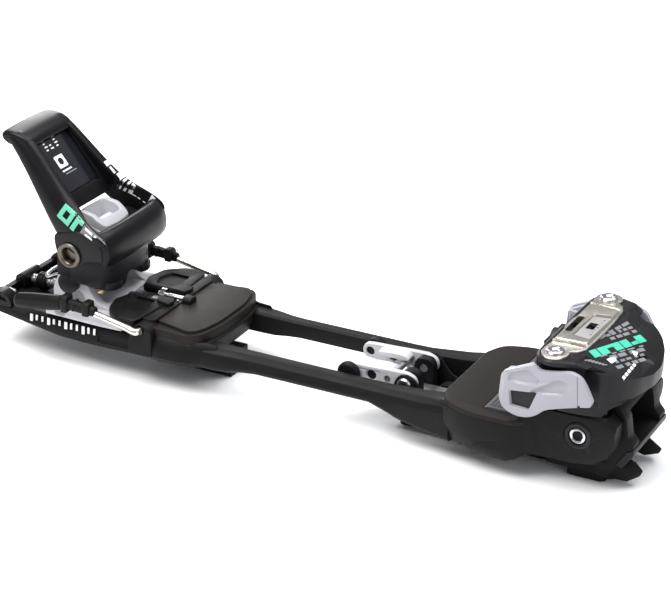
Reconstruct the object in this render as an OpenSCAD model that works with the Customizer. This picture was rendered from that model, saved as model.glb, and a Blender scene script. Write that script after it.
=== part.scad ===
// Frame touring binding: an alpine toe and heel on one long frame that
// hinges at the toe for climbing and slides forward onto an anchor for skiing.
// Millimetres. +X towards the boot toe, +Y left, +Z up, Z = 0 on the ski's top face.
// Rest pose: frame lowered on the ski, in the rear (walk) position.

/* [Frame] */
// Boot sole length the heel is drawn for; for reference, no outline follows it
sole_len = 278; // [276:1:280]
// Half width over each rail of the frame
rail_out = 33; // [32:0.5:34]
// Half width of the opening between the rails
rail_in = 21; // [20.5:0.5:22]
// Height of the toe platform's top face
platform_z = 36; // [35.5:0.5:36.5]

/* [Tour pivot] */
// Distance of the tour axle ahead of the boot's mid sole
axle_x = 162; // [161:0.5:163]
// Height of the tour axle above the ski
axle_z = 33; // [32.8:0.1:33.2]
// Radius of the tour axle
axle_r = 4.7; // [4.5:0.1:4.8]

/* [Mode slide] */
// Forward stroke from the walk position to the ski position
mode_stroke = 24; // [22:1:24]
// Radius of the ski screw holes
screw_hole_r = 2.75; // [2.6:0.05:2.8]

/* [Heel] */
// Radius of the length spindle
spindle_r = 3.4; // [3.2:0.1:3.5]
// Running clearance on a radius
run_c = 0.05; // [0.03:0.01:0.08]

/* [Hidden] */

// Part modules count X from this point ahead of mid sole
part_x = 51;

// Axes along Y, as [x, z]
pivot_x = axle_x - part_x;
axle = [pivot_x, axle_z];
lever_x = 1.5;
lever_z = 27.5;
lever = [lever_x, lever_z];         // mode lever pivot
crank_x = lever_x - mode_stroke/2;
crank = [crank_x, lever_z];
link = [57, 17.2];                  // drag link to pivot block
cup_pivot = [-212, 48];
ring = [-206.6, 68.4];              // heel lever pivot in the cup
cup_screw = [-199, 60];
wire_eye = [-219.6, 38];
bail = [-155.4, 35.2];              // climbing bail shaft

// Axes along X, as [y, z]
spindle_z = 30;
spindle = [0, spindle_z];
gauge = [0, 39.2];
toe_bore = [0, 66.5];
heel_bore = [0, 62];

// Axes along Z
wing_pivot = [96.7, 36.6];          // [x, y]
base_screw_x = [-38, 34];
base_screw_front = [110, 16.5];     // [x, y]
anchor_screw_x = [-140, -124];
hook_screw_x = [-185.5, -164.5];
housing_screw_x = [84, 122];
housing_screw_y = 30;

// Radii
small_r = 2;                        // small screws, crank and link pins
lever_pin_r = 2.5;
bush_r = 7;
journal_r = 2.6;                    // turned down ends of the spindle
gauge_r = 1.7;
wing_pin_r = 3;
cup_pin_r = 3.2;
adjuster_r = 3;                     // toe and heel adjusting screws
ring_r = 5.6;
bail_shaft_r = 2.2;
bail_arm_r = 2.1;

// Half widths
block_half = 23.4;                  // pivot block
block_gap = 24.3;                   // room for it in frame and toe housing

// ---------- shape helpers ----------
// prism_y takes [x, z] points, prism_z takes [x, y] points
module prism_y(points, y0, y1) {
  translate([0, y1, 0]) rotate([90, 0, 0]) linear_extrude(height = y1-y0) polygon(points);
}
module prism_mid(points, half) prism_y(points, -half, half);
module prism_z(points, z0, z1) {
  translate([0, 0, z0]) linear_extrude(height = z1-z0) polygon(points);
}
// prism on an outline given for y >= 0 and closed by its mirror image
module slab(points, z0, z1) {
  last = len(points)-1;
  prism_z(concat(points, [for (i = [last:-1:0]) [points[i][0], -points[i][1]]]), z0, z1);
}
// cylinders along one axis; centre holds the other two coordinates
module cyl_x(centre, radius, x0, x1, sides = 48) {
  translate([x0, centre[0], centre[1]]) rotate([0, 90, 0])
    cylinder(r = radius, h = x1-x0, $fn = sides);
}
module cyl_y(centre, radius, y0, y1, sides = 48) {
  translate([centre[0], y1, centre[1]]) rotate([90, 0, 0])
    cylinder(r = radius, h = y1-y0, $fn = sides);
}
module cyl_z(centre, radius, z0, z1, sides = 48) {
  translate([centre[0], centre[1], z0]) cylinder(r = radius, h = z1-z0, $fn = sides);
}
module cyl_mid(centre, radius, half) cyl_y(centre, radius, -half, half);
module box(x0, x1, y0, y1, z0, z1) {
  translate([x0, y0, z0]) cube([x1-x0, y1-y0, z1-z0]);
}
// box centred on y = 0
module box_mid(x0, x1, half, z0, z1) box(x0, x1, -half, half, z0, z1);
module both() {
  children();
  mirror([0, 1, 0]) children();
}
// round rod between two points
module rod(start, end, radius) {
  span = end-start;
  translate(start) rotate([0, acos(span[2]/norm(span)), atan2(span[1], span[0])])
    cylinder(r = radius, h = norm(span), $fn = 48);
}
// point of the wire's six sided section; side is 1 outside, -1 inside
function wire_point(coil_r, wire_r, pitch, i, side) =
  let(rise = -wire_r+2*wire_r*i/3,
    reach = coil_r+side*sqrt(max(0, wire_r*wire_r-rise*rise)),
    turn = -360*rise/pitch)
  [reach*cos(turn), reach*sin(turn)];
// coil spring along +X from start, flat ended
module coil_x(start, axis, coil_r, wire_r, pitch, turns) {
  section = concat(
    [for (i = [0:3]) wire_point(coil_r, wire_r, pitch, i, 1)],
    [for (i = [2:-1:1]) wire_point(coil_r, wire_r, pitch, i, -1)]);
  translate([start, axis[0], axis[1]]) rotate([0, 90, 0])
    linear_extrude(height = pitch*turns, twist = -360*turns, slices = round(9*turns))
      polygon(section);
}

// ---------- fixed to the ski ----------
module front_base_plate() color("#26262a") difference() {
  union() {
    box_mid(-58, 100, 14, 0, 5);
    box_mid(98, 121, 21, 0, 5);
    // T rail
    box_mid(44, 120, 6, 4, 9);
    box_mid(44, 120, 10, 8.5, 12);
    // lever posts
    both() {
      box(lever_x-6, lever_x+6, 6, 11.2, 4, lever_z);
      cyl_y(lever, 6, 6, 11.2);
    }
  }
  both() {
    cyl_y(lever, lever_pin_r, 5, 12);
    for (x = base_screw_x) {
      cyl_z([x, 9], screw_hole_r, -1, 6);
      cyl_z([x, 9], 4.4, 2.6, 6);
    }
    cyl_z(base_screw_front, screw_hole_r, -1, 6);
    cyl_z(base_screw_front, 4, 2.6, 6);
  }
}
module rear_anchor() color("#2b2b2e") difference() {
  union() {
    box_mid(-148, -116, 7, 0, 10);
    box_mid(-148, -116, 12.5, 9, 13);
  }
  for (x = anchor_screw_x) {
    cyl_z([x, 0], screw_hole_r, -1, 14);
    cyl_z([x, 0], 4.6, 9.4, 14);
  }
}
module lever_pins() color("#1c1c1e") both() {
  cyl_y(lever, lever_pin_r, 6, 15.6);
  cyl_y(lever, 4.3, 15.6, 18);
}

// ---------- mode lever ----------
module mode_lever() color("#cfced4") difference() {
  union() {
    both() {
      prism_y([[-36, 22.8], [-20, 22.6], [-8, 21.5], [lever_x, 21.4], [lever_x, 33.6],
        [-8, 33.4], [-20, 32.8], [-36, 32]], 11.8, 15.2);
      cyl_y([-35.2, 27.4], 4.6, 11.8, 15.2);
      cyl_y(lever, 6.1, 11.8, 15.2);
    }
    // crossbar and inner strips
    box_mid(-31, -25.5, 12, 29.6, 32.6);
    both() box(-25.6, -7.5, 4.8, 12, 29.6, 32.6);
  }
  both() {
    cyl_y(lever, lever_pin_r+run_c, 11, 16);
    for (x = [-35, -20.5]) cyl_y([x, 27.4], 2.3, 11, 16);
    cyl_y(crank, small_r, 11, 16);
  }
}
module crank_pin() color("#b8b8bc") cyl_mid(crank, small_r, 15.2);

// ---------- sliding pivot carriage ----------
module pivot_block() color("#202022") difference() {
  union() {
    box_mid(46, 100, 13.6, 5.4, 20.4);
    intersection() {
      cyl_mid(axle, 22.5, block_half);
      box_mid(80, 140, 30, 5.4, 60);
    }
    prism_mid([[92, 5.4], [122.6, 5.4], [129, 14], [pivot_x+25.8, axle_z-8.2],
      [pivot_x+21, axle_z-6], axle, [92, axle_z-5]], block_half);
    // front feet
    both() prism_y([[112, 6], [121.4, 6], [123.8, 2], [132.6, 2], [140.5, 8], [126, 14.9],
      [112, 14.9]], 12, 24);
  }
  // T slot
  box_mid(30, 150, 6.4, 0, 9);
  box_mid(30, 150, 10.4, 8.1, 12.4);
  // drag link slot
  box_mid(40, 64, 4.3, 12, 30);
  cyl_mid(link, small_r, 15);
  cyl_mid(axle, bush_r, 30);
  // lightening pocket in the nose
  box_mid(120, 150, 15, 23, 41);
}
module axle_bushes() color("#b48a3c") both() difference() {
  cyl_y(axle, bush_r, 13, block_half);
  cyl_y(axle, axle_r+run_c, 12, 25);
}
module drag_link() color("#a9a9ad") difference() {
  union() {
    box_mid(-17, 63, 4, 14.8, 19.6);
    box_mid(-17, -4, 4, 14.8, 28.4);
  }
  // crank seat, open at the top front
  translate([crank_x, 0, lever_z]) {
    rotate([90, 0, 0]) cylinder(r = 4.8, h = 20, center = true, $fn = 48);
    translate([-4.8, -5, 0]) cube([9.6, 10, 10]);
  }
  cyl_mid(link, small_r, 15);
}
module link_pin() color("#b8b8bc") cyl_mid(link, small_r, 13.4);

// ---------- frame ----------
// front edge shared by heel platform and heel cover, [x, y]
heel_deck_front = [[-124.5, 36.2], [-120, 32], [-116.5, 16]];
module frame_chassis() color("#242325") difference() {
  union() {
    // rails
    both() prism_y([[-122, 17], [-103, 17], [-86, 19.4], [-12, 19.2], [-4, 16.2], [4, 13.8],
      [19, 11.4], [34.5, 11], [46, 11], [46, 29.5], [-122, 29.5]], rail_in, rail_out);
    // toe platform
    slab([[29.9, 27.3], [34, 38], [49, 43.6], [74, 43.6], [82.4, 37]], 29, platform_z);
    // skirts and pivot cheeks
    both() {
      prism_y([[34, 12], [49, 10], [72, 8.5], [81, 13.5], [102, 13.3], [119, 15.5], [129, 23],
        [131, 38], [127, 45.5], [78, 45.5], [76, 35], [34, 31]], 24.6, 36);
      prism_z([[36, 35], [50, 40.5], [74, 40.5], [84, 36], [84, 35]], 12, 31);
    }
    // heel platform and tray
    slab(concat([[-152, 37]], heel_deck_front), 17, 30);
    prism_mid([[-262, 23.6], [-216, 16.6], [-193, 15.8], [-150, 17], [-150, 20], [-226, 20],
      [-262, 26]], 36.5);
    both() {
      prism_y([[-262, 24], [-216, 17], [-150, 17], [-150, 28], [-258, 28]], 30, 36.5);
      box(-160, -150.5, 30, 40.6, 20, 39);
    }
  }
  // recess for the afd plate
  box_mid(56.8, 75.2, 36.2, 33.4, 40);
  // swing room round the pivot block
  cyl_mid(axle, 27.8, block_gap);
  cyl_mid(axle, axle_r, 60);
  // bail shaft, spindle journal, hook pocket
  cyl_mid(bail, bail_shaft_r+run_c, 60);
  cyl_x(spindle, journal_r+run_c, -153, -142);
  box_mid(-153, -150.5, 29.8, 20, 40);
  box_mid(-190.3, -159.7, 12.7, 10, 17.2);
  for (x = hook_screw_x) cyl_z([x, 0], small_r, 10, 20.1);
  // lightening pockets under the heel platform
  both() box(-148, -122, 14.5, 30, 10, 26);
  both() for (x = housing_screw_x) cyl_z([x, housing_screw_y], small_r, 30, 50);
}
module tour_axle() color("#d7d7da") difference() {
  cyl_mid(axle, axle_r, 36.6);
  both() cyl_y(axle, 2.7, 32, 37, sides = 6);
}
module afd_plate() color("#4a4a4e")
  prism_mid([[57, 33.4], [75, 33.4], [75, 36.6], [72, 37.4], [60, 37.4], [57, 36.6]], 36);
module heel_cover() color("#3a3532") difference() {
  union() {
    slab(concat([[-150.4, 36]], heel_deck_front), 30, 36);
    slab([[-150.4, 29], [-126, 34.5], [-121.5, 30], [-118, 15]], 35.5, 38);
    box_mid(-150.4, -144, 3.6, 37, 41.6);
  }
  both() box(-151, -150, 29.6, 41, 20, 40);
  cyl_x(gauge, gauge_r, -152, -146);
  cyl_x(spindle, journal_r+run_c, -153, -142);
}
module heel_pads() {
  color("#1f1e1f") both() difference() {
    prism_z([[-158.3, 6.5], [-183, 6], [-187.5, 18], [-183, 30], [-173, 39.5], [-160.1, 40.4],
      [-160.1, 29.8], [-158.3, 29.8]], 35.2, 39.6);
    box(-180, -165, 12, 26, 38.6, 41);
  }
  // legs under the pads
  color("#1f1e1f") both() box(-163.4, -160.1, 31, 36.4, 28, 35.4);
}
module gauge_rod() color("#c9c9cd") {
  cyl_x(gauge, gauge_r, -168, -146);
  cyl_x(gauge, 4, -165.8, -162.4);
}
module lock_hook() color("#8d8d92") difference() {
  union() {
    box_mid(-190, -160, 12.5, 13.8, 17.2);
    box_mid(-180, -174, 12.4, 4.5, 14);
    both() box(-175, -156, 8.5, 12.4, 4.5, 8.3);
  }
  for (x = hook_screw_x) {
    cyl_z([x, 0], small_r, 10, 20);
    cyl_z([x, 0], 3.8, 10, 15.6);
  }
}
module hook_screws() color("#c4c4c8") for (x = hook_screw_x) difference() {
  union() {
    cyl_z([x, 0], small_r, 15, 19.8);
    cyl_z([x, 0], 3.8, 13.9, 15.6);
  }
  cyl_z([x, 0], 1.7, 13, 15, sides = 6);
}
module end_cap() color("#1d1d1f") difference() {
  union() {
    prism_mid([[-267, 24], [-262, 23.7], [-262, 31], [-266, 31]], 35.5);
    both() prism_y([[-266.5, 29], [-262, 28.1], [-248, 28.1], [-251, 34], [-256, 36.4],
      [-262, 34.6]], 30.2, 36);
    // spindle bearing
    prism_mid([[-266, 30], [-262, 30], [-258.2, 26.6], [-258.2, 34], [-262, 35.4]], 7);
    prism_mid([[-262, 26.1], [-258.2, 26.1], [-258.2, 30], [-262, 31]], 7);
  }
  cyl_x(spindle, journal_r+run_c, -275, -250);
}
// every third mark is longer
module scale_marks() color("white") both() for (i = [0:11])
  box(-233+4*i, -231.4+4*i, 36.5, 36.8, (i % 3 == 0 ? 22.2 : 23.6), 27.2);

// ---------- toe ----------
module toe_housing() color("#252528") difference() {
  union() {
    // lower deck
    slab([[77, 36], [90, 37.4], [104, 37.4], [122, 36], [130, 31], [135, 22], [138.5, 8]],
      45.5, 56);
    // upper body, narrow beside the wings
    slab([[84, 27], [87, 36], [90, 39.8], [101, 39.8], [104, 38], [118, 33], [128, 29],
      [136, 20], [140, 6]], 64, 74);
    // cap over the wings
    slab([[86, 27], [87.5, 39], [91, 43], [104, 43], [120, 37.5], [130, 30], [136, 20],
      [140, 6]], 73.6, 76.6);
    // pier between the wings
    slab([[82, 26], [107, 26], [109.5, 34.4], [121, 34], [126, 31], [130, 28.6], [136, 20],
      [140, 6]], 50, 70);
  }
  // sloping nose
  translate([108.5, 0, 76.8]) rotate([0, 25, 0]) box_mid(-0.1, 60, 60, 0, 60);
  // undercut below the nose
  prism_mid([[150, 54], [136.5, 54.5], [126, 50], [120, 40], [150, 40]], 60);
  // swing room round the pivot block, deeper at the front
  cyl_mid(axle, 23.6, block_gap);
  intersection() {
    cyl_mid(axle, 28.6, block_gap);
    box_mid(pivot_x+11.5, 170, 30, 0, 80);
  }
  // spring tube, screw and wing pin holes
  cyl_x(toe_bore, 6.2, 70, 118);
  cyl_x(toe_bore, adjuster_r+run_c, 117, 150);
  both() {
    cyl_z(wing_pivot, wing_pin_r, 40, 80);
    for (x = housing_screw_x) {
      cyl_z([x, housing_screw_y], small_r, 40, 60);
      cyl_z([x, housing_screw_y], 3.8, 54, 64);
    }
  }
  // indicator slot
  box_mid(84, 104, 3.2, 71, 80);
}
module housing_screws() color("#b9b9bd") both() for (x = housing_screw_x) difference() {
  union() {
    cyl_z([x, housing_screw_y], small_r, 32, 54.5);
    cyl_z([x, housing_screw_y], 3.6, 54, 56.5);
  }
  cyl_z([x, housing_screw_y], 1.7, 55, 57, sides = 6);
}
module toe_plate() color("#cfc9c0") difference() {
  union() {
    slab([[88.6, 5], [91, 9], [90.6, 34], [103, 38], [107.5, 24], [108.5, 12]], 76.6, 78.2);
    both() cyl_z(wing_pivot, 7.4, 76.6, 78.2);
    both() box(93, 107, 21.5, 23, 77.6, 79);
  }
  box_mid(92.5, 97, 10, 76, 80);
  box_mid(99.5, 104, 4, 76, 80);
  both() cyl_z(wing_pivot, wing_pin_r, 70, 80);
}
module wing_pins() color("#d9d9dc") both() difference() {
  union() {
    cyl_z(wing_pivot, wing_pin_r, 46, 79);
    cyl_z(wing_pivot, 4.6, 78.2, 79.6);
  }
  cyl_z(wing_pivot, 2.2, 78.8, 81);
}
module toe_spring() color("#9b9ba0")
  coil_x(88.6, toe_bore, coil_r = 4.6, wire_r = 1.1, pitch = 4, turns = 6.2);
module toe_piston() color("#cdb36a") difference() {
  union() {
    cyl_x(toe_bore, 6, 80, 88.5);
    box_mid(79.9, 81.9, 12, 61, 70);
  }
  cyl_x(toe_bore, 3.2, 83, 90);
}
// flip is 0 for the left wing, 1 for its mirror image
module wing(flip) mirror([0, flip, 0]) color("#b5b4bc") difference() {
  union() {
    // outer blade
    prism_y([[71.6, 66], [69.8, 50.5], [73, 45], [85.9, 41.4], [95.5, 48.4], [114.7, 54.5],
      [121.5, 57], [122, 61], [117, 70], [112, 73], [100, 72], [92, 71.5], [88, 73]],
      43.4, 46.4);
    // shoulder that carries the eye
    prism_z([[77, 37.8], [90, 38.2], [97, 43.9], [70.9, 43.9]], 47.5, 62.8);
    prism_z([[91, 36], [102.2, 36], [105, 43.9], [87, 43.9]], 56.4, 63.6);
    cyl_z(wing_pivot, 6.4, 56.4, 63.6);
    // sole hold down lip
    prism_z([[72.2, 44.1], [73, 37.5], [80, 36.4], [84, 44.1]], 60, 65.6);
  }
  cyl_z(wing_pivot, wing_pin_r+run_c, 40, 80);
  // recess in the blade's outer face
  prism_y([[76.3, 54.3], [90.2, 56.5], [86.1, 47.4], [77, 48]], 44.6, 60);
}
module wing_left() wing(0);
module wing_right() wing(1);
module toe_screw() color("#9b9ba0") difference() {
  union() {
    cyl_x(toe_bore, adjuster_r, 116, 128);
    cyl_x(toe_bore, 5.8, 114.2, 117.6);
  }
  cyl_x(toe_bore, 1.9, 125.4, 130.4, sides = 6);
}
module toe_indicator() color("#111111") box_mid(94.5, 100.5, 3, 73.2, 76.4);

// ---------- heel length spindle and carriage ----------
module length_spindle() color("#c2c2c6") difference() {
  union() {
    cyl_x(spindle, journal_r, -266.4, -257);
    cyl_x(spindle, spindle_r, -257.6, -164.5);
    cyl_x(spindle, journal_r, -165, -144);
    // stepped collar
    for (i = [0:2]) cyl_x(spindle, i % 2 == 0 ? 5.4 : 4.9, -253+2.2*i, -250.8+2.2*i);
  }
  // driver slot
  box_mid(-267, -265.2, 0.6, spindle_z-2.2, spindle_z+2.2);
}
module heel_carriage() color("#d6d6da") difference() {
  union() {
    box_mid(-222, -192, 29.4, 24, 33.5);
    box_mid(-206, -192, 29.4, 20.4, 33.5);
    box_mid(-194, -170, 29.4, 20.4, 34.6);
    // side flanges and cup cheeks
    both() {
      prism_y([[-224, 28.4], [-170.5, 28.4], [-170.5, 30.5], [-186, 33.4], [-224, 33.4]],
        28, 36.4);
      prism_y([[-224, 33], [-226, 40], [-219, 52], [-212, 57], [-205, 55], [-199, 44],
        [-196.5, 35.5], [-196.5, 30], [-222, 30]], 19, 24.6);
    }
    slab([[-224, 24.6], [-200, 24.6], [-188, 20]], 30, 34.8);
  }
  cyl_x(spindle, 4.2, -240, -150);
  // nut pocket
  box_mid(-207, -195, 7.2, 22, 42);
  cyl_mid(cup_pivot, cup_pin_r, 40);
  // pressure spring pocket
  box_mid(-190, -176, 9, 22, 42);
  both() cyl_z([-214, 30.2], 7, 30.8, 40.8);
  both() cyl_y(wire_eye, 1.35, 10, 40);
}
module spindle_nut() color("#c8a24a") difference() {
  box_mid(-206.8, -195.2, 7, 22.2, 34.2);
  cyl_x(spindle, spindle_r+run_c, -210, -190);
}
module pressure_spring() color("#9b9ba0")
  coil_x(-189.4, spindle, coil_r = 5.6, wire_r = 0.8, pitch = 2.5, turns = 5.2);
module heel_pivot_pin() color("#c4c4c8") difference() {
  cyl_mid(cup_pivot, cup_pin_r, 28.6);
  both() cyl_y(cup_pivot, 1.6, 27, 31);
}
module lock_wire() color("#cfcfd3") {
  both() {
    cyl_y(wire_eye, 1.3, 12.6, 24.4);
    rod([wire_eye[0], 13.9, wire_eye[1]], [-236, 11.3, 40.5], 1.25);
  }
  cyl_mid([-236, 40.5], 1.4, 12.7);
}

// ---------- heel cup, housing and lever ----------
module heel_cup() color("#2c2b2f") difference() {
  union() {
    // shell
    difference() {
      slab([[-217, 29.4], [-202, 29.4], [-193, 26.5], [-187, 20], [-184.4, 10]], 47, 69);
      slab([[-230, 25.2], [-202, 25.2], [-195, 23], [-190.4, 17], [-188.4, 8]], 40, 80);
      // notched pedal edge
      box_mid(-200, -180, 7.5, 40, 51.5);
      prism_mid([[-220, 44], [-196, 44], [-217, 56], [-230, 62]], 40);
    }
    both() {
      cyl_y(ring, 8.4, 25.2, 29.4);
      cyl_y(cup_pivot, 6.4, 25.2, 29.4);
    }
    // pedal
    both() prism_z([[-195, 12], [-184.8, 10], [-183, 14], [-184, 19], [-190, 24]], 45, 49);
  }
  both() {
    cyl_y(ring, ring_r, 20, 40);
    cyl_y(cup_pivot, cup_pin_r+run_c, 20, 40);
    cyl_y(cup_screw, small_r, 20, 27.6);
  }
}
module heel_housing() color("#c9c8cd") difference() {
  union() {
    prism_mid([[-219, 43], [-207, 41], [-197, 47], [-191.5, 56], [-194, 74], [-200, 84],
      [-208, 85], [-216, 72], [-221, 56]], 14.6);
    both() prism_z([[-203, 14], [-203, 24.8], [-202, 24.8], [-195.9, 22.3], [-193.9, 19.3],
      [-193.9, 14]], 56, 72);
    both() cyl_y(cup_pivot, 6, 0, 18.6);
  }
  // spring tube and screw hole
  cyl_x(heel_bore, 8.4, -216, -194.4);
  cyl_x(heel_bore, adjuster_r+run_c, -230, -215);
  both() {
    cyl_y(cup_pivot, cup_pin_r+run_c, -1, 40);
    cyl_y(cup_screw, small_r, 20, 40);
    cyl_y(ring, ring_r, 10, 40);
  }
  // notch in the top
  box_mid(-206, -180, 9, 76, 95);
}
module heel_spring() color("#9b9ba0")
  coil_x(-213.4, heel_bore, coil_r = 6.2, wire_r = 1.3, pitch = 4.1, turns = 4.4);
module cup_screws() color("#b9b9bd") both() cyl_y(cup_screw, small_r, 20.5, 27.6);
module lever_rings() color("#55504a") both() difference() {
  union() {
    cyl_y(ring, ring_r, 16, 33.4);
    cyl_y(ring, 7.7, 33.0, 34.4);
  }
  cyl_y(ring, 4.4, 15, 36);
}
module heel_screw() color("#9b9ba0") difference() {
  union() {
    cyl_x(heel_bore, adjuster_r, -222.5, -214);
    cyl_x(heel_bore, 5, -215.8, -213.8);
  }
  // driver slot
  box_mid(-223, -221.2, 0.6, 59.6, 64.4);
}
// middle station of the heel lever's arm
module lever_elbow() prism_y([[-224, 88], [-203.5, 90], [-211.5, 98.5], [-226, 93]], 25, 29.4);
module heel_lever() color("#1b1b1d") difference() {
  union() {
    both() {
      // upper arm leans in towards the grip
      hull() {
        prism_y([[-257, 130], [-250, 124], [-238, 126.5], [-246, 132.8]], 19.5, 24);
        lever_elbow();
      }
      hull() {
        lever_elbow();
        prism_y([[-214.8, 74], [-198, 78], [-194, 87.5], [-206, 93.5]], 29.7, 33);
      }
      prism_y([[-215, 72], [-206, 76], [-190, 68.5], [-183, 69], [-181, 76], [-184, 82.5],
        [-196, 88.5], [-212, 90]], 29.7, 33);
      cyl_y(ring, 8.6, 29.7, 33);
    }
    // brow over the cup
    hull() {
      both() prism_y([[-190, 70], [-183, 69.6], [-181, 76], [-184, 81], [-190, 80]], 24, 31);
      prism_mid([[-188, 71.5], [-181.4, 71], [-179.4, 75], [-183, 78], [-188, 78]], 10);
    }
    // lip in front of the cup
    difference() {
      slab([[-190, 33], [-184, 31], [-180.4, 24], [-178.2, 14], [-177.6, 5]], 63.5, 76);
      slab([[-217, 30.6], [-201.5, 30.6], [-192, 27.6], [-185.8, 20.8], [-183.2, 10]],
        60, 70.2);
      box_mid(-230, -189.9, 40, 60, 80);
    }
    // web and grip
    prism_mid([[-257, 130], [-251, 123], [-222, 88.5], [-218.5, 91.5], [-246, 126]], 24);
    prism_mid([[-258.5, 131], [-254, 126.5], [-241, 127], [-245, 133]], 22.5);
  }
  both() {
    cyl_y(ring, ring_r+run_c, 20, 40);
    cyl_y(ring, 8.8, 20, 29.6);
  }
  // panel recess
  prism_mid([[-244.2, 127.6], [-247.39, 123.83], [-225.31, 96.47], [-221.8, 100.4]], 15.2);
}
module lever_panel() color("#101014")
  prism_mid([[-245.64, 125.45], [-247.14, 123.65], [-225.44, 96.75], [-223.84, 98.55]], 15);

// ---------- climbing bail ----------
bail_bend = [bail[0], 43.4, bail[1]];
module bail_arm() rod(bail_bend, [-194, 44, 43], bail_arm_r);
module bail_wire() color("#a8a49c") {
  cyl_mid(bail, bail_shaft_r, bail_bend[1]);
  both() {
    translate(bail_bend) sphere(r = 2.45, $fn = 32);
    bail_arm();
  }
}
module bail_feet() color("#1d1d1f") both() difference() {
  union() {
    prism_y([[-182, 40.5], [-182, 46.5], [-206, 48], [-239, 42], [-243, 37], [-240, 34],
      [-206, 38.5]], 40.8, 47);
    // bands round the foot
    box(-190, -184, 40.2, 47.6, 39.5, 47.6);
    box(-205, -199, 40.2, 47.6, 38.8, 48.8);
  }
  bail_arm();
}

module put() translate([part_x, 0, 0]) children();
put() front_base_plate();
put() rear_anchor();
put() lever_pins();
put() mode_lever();
put() crank_pin();
put() pivot_block();
put() axle_bushes();
put() drag_link();
put() link_pin();
put() frame_chassis();
put() tour_axle();
put() afd_plate();
put() heel_cover();
put() heel_pads();
put() gauge_rod();
put() lock_hook();
put() hook_screws();
put() end_cap();
put() scale_marks();
put() toe_housing();
put() housing_screws();
put() toe_plate();
put() wing_pins();
put() toe_spring();
put() toe_piston();
put() wing_left();
put() wing_right();
put() toe_screw();
put() toe_indicator();
put() length_spindle();
put() heel_carriage();
put() spindle_nut();
put() pressure_spring();
put() heel_pivot_pin();
put() lock_wire();
put() heel_cup();
put() heel_housing();
put() heel_spring();
put() cup_screws();
put() lever_rings();
put() heel_screw();
put() heel_lever();
put() lever_panel();
put() bail_wire();
put() bail_feet();
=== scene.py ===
"""A touring ski binding: toe unit, rails, sliding heel unit with lever, and climbing bail.

The drawing is in millimetres: x runs along the ski with the toe at +x, y runs across it and
z is up. The near side is -y (the binding's right) and the far side is +y.
metres() turns a drawing point into scene units and moves it along x by SHIFT_X.
"""
import math
import bmesh
import bpy
from mathutils import Matrix, Vector
from mathutils.bvhtree import BVHTree


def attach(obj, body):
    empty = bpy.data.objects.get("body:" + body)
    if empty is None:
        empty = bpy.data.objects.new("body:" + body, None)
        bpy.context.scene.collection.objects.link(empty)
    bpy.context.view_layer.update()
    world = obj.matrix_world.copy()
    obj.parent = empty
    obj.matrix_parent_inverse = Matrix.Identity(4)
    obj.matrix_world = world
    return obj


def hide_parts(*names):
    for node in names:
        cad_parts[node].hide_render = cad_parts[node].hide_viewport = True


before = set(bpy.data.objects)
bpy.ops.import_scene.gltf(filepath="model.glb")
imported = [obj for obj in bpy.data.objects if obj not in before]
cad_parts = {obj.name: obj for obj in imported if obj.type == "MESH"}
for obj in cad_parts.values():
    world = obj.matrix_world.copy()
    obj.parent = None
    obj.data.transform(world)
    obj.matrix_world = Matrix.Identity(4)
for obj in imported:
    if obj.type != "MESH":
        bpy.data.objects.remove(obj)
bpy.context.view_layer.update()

scene = bpy.context.scene

SHIFT_X = 51.0
SIDES = ((-1, "near"), (1, "far"))

# Shared axes, given by their two coordinates across the axis
AXLE = (111, 33)             # x, z of the tour axle
TOE_RIVET = (96.7, 36.6)     # x, y of the wing rivets, mirrored in y
TOE_SCREW = (0, 66.5)        # y, z of the bore through the toe
LEVER_PIN = (1.5, 27.5)      # x, z of the mode lever's pin
BAIL_AXIS = (-155.4, 35.2)   # x, z of the bail's shaft
SPINDLE = (0, 30)            # y, z of the length spindle
CUP_PIVOT = (-212, 48)       # x, z of the heel cup's pivot
RING = (-206.6, 68.4)        # x, z of the heel lever's ring
CUP_SCREW = (-199, 60)       # x, z of the side screws in the heel cup
DISH = (-214, -30.2)         # x, y of the near dish in the carriage


def metres(x, y, z):
    return Vector(((x + SHIFT_X) / 1000.0, y / 1000.0, z / 1000.0))


# ------------------------------------------------------------------ materials
def new_material(name):
    material = bpy.data.materials.new(name)
    material.use_nodes = True
    tree = material.node_tree
    for node in list(tree.nodes):
        tree.nodes.remove(node)
    output = tree.nodes.new("ShaderNodeOutputMaterial")
    shader = tree.nodes.new("ShaderNodeBsdfPrincipled")
    tree.links.new(shader.outputs[0], output.inputs[0])
    return material, tree, shader


def noise(tree, scale, detail=3, rough=0.5, stretch=None):
    source = tree.nodes.new("ShaderNodeTexCoord").outputs["Object"]
    if stretch:
        mapping = tree.nodes.new("ShaderNodeMapping")
        mapping.inputs["Scale"].default_value = stretch
        tree.links.new(source, mapping.inputs[0])
        source = mapping.outputs[0]
    node = tree.nodes.new("ShaderNodeTexNoise")
    node.inputs["Scale"].default_value = scale
    node.inputs["Detail"].default_value = detail
    node.inputs["Roughness"].default_value = rough
    tree.links.new(source, node.inputs["Vector"])
    return node.outputs["Fac"]


def ramp(tree, factor, low, high):
    node = tree.nodes.new("ShaderNodeValToRGB")
    for stop, position, colour in zip(node.color_ramp.elements, (0.3, 0.7), (low, high)):
        stop.position = position
        stop.color = (*colour, 1)
    tree.links.new(factor, node.inputs[0])
    return node.outputs[0]


def shade(colour, factor):
    return tuple(min(1.0, channel * factor) for channel in colour)


def arithmetic(tree, operation, *values, clamp=False):
    node = tree.nodes.new("ShaderNodeMath")
    node.operation = operation
    node.use_clamp = clamp
    for i, value in enumerate(values):
        if hasattr(value, "links"):
            tree.links.new(value, node.inputs[i])
        else:
            node.inputs[i].default_value = value
    return node.outputs[0]


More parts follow.
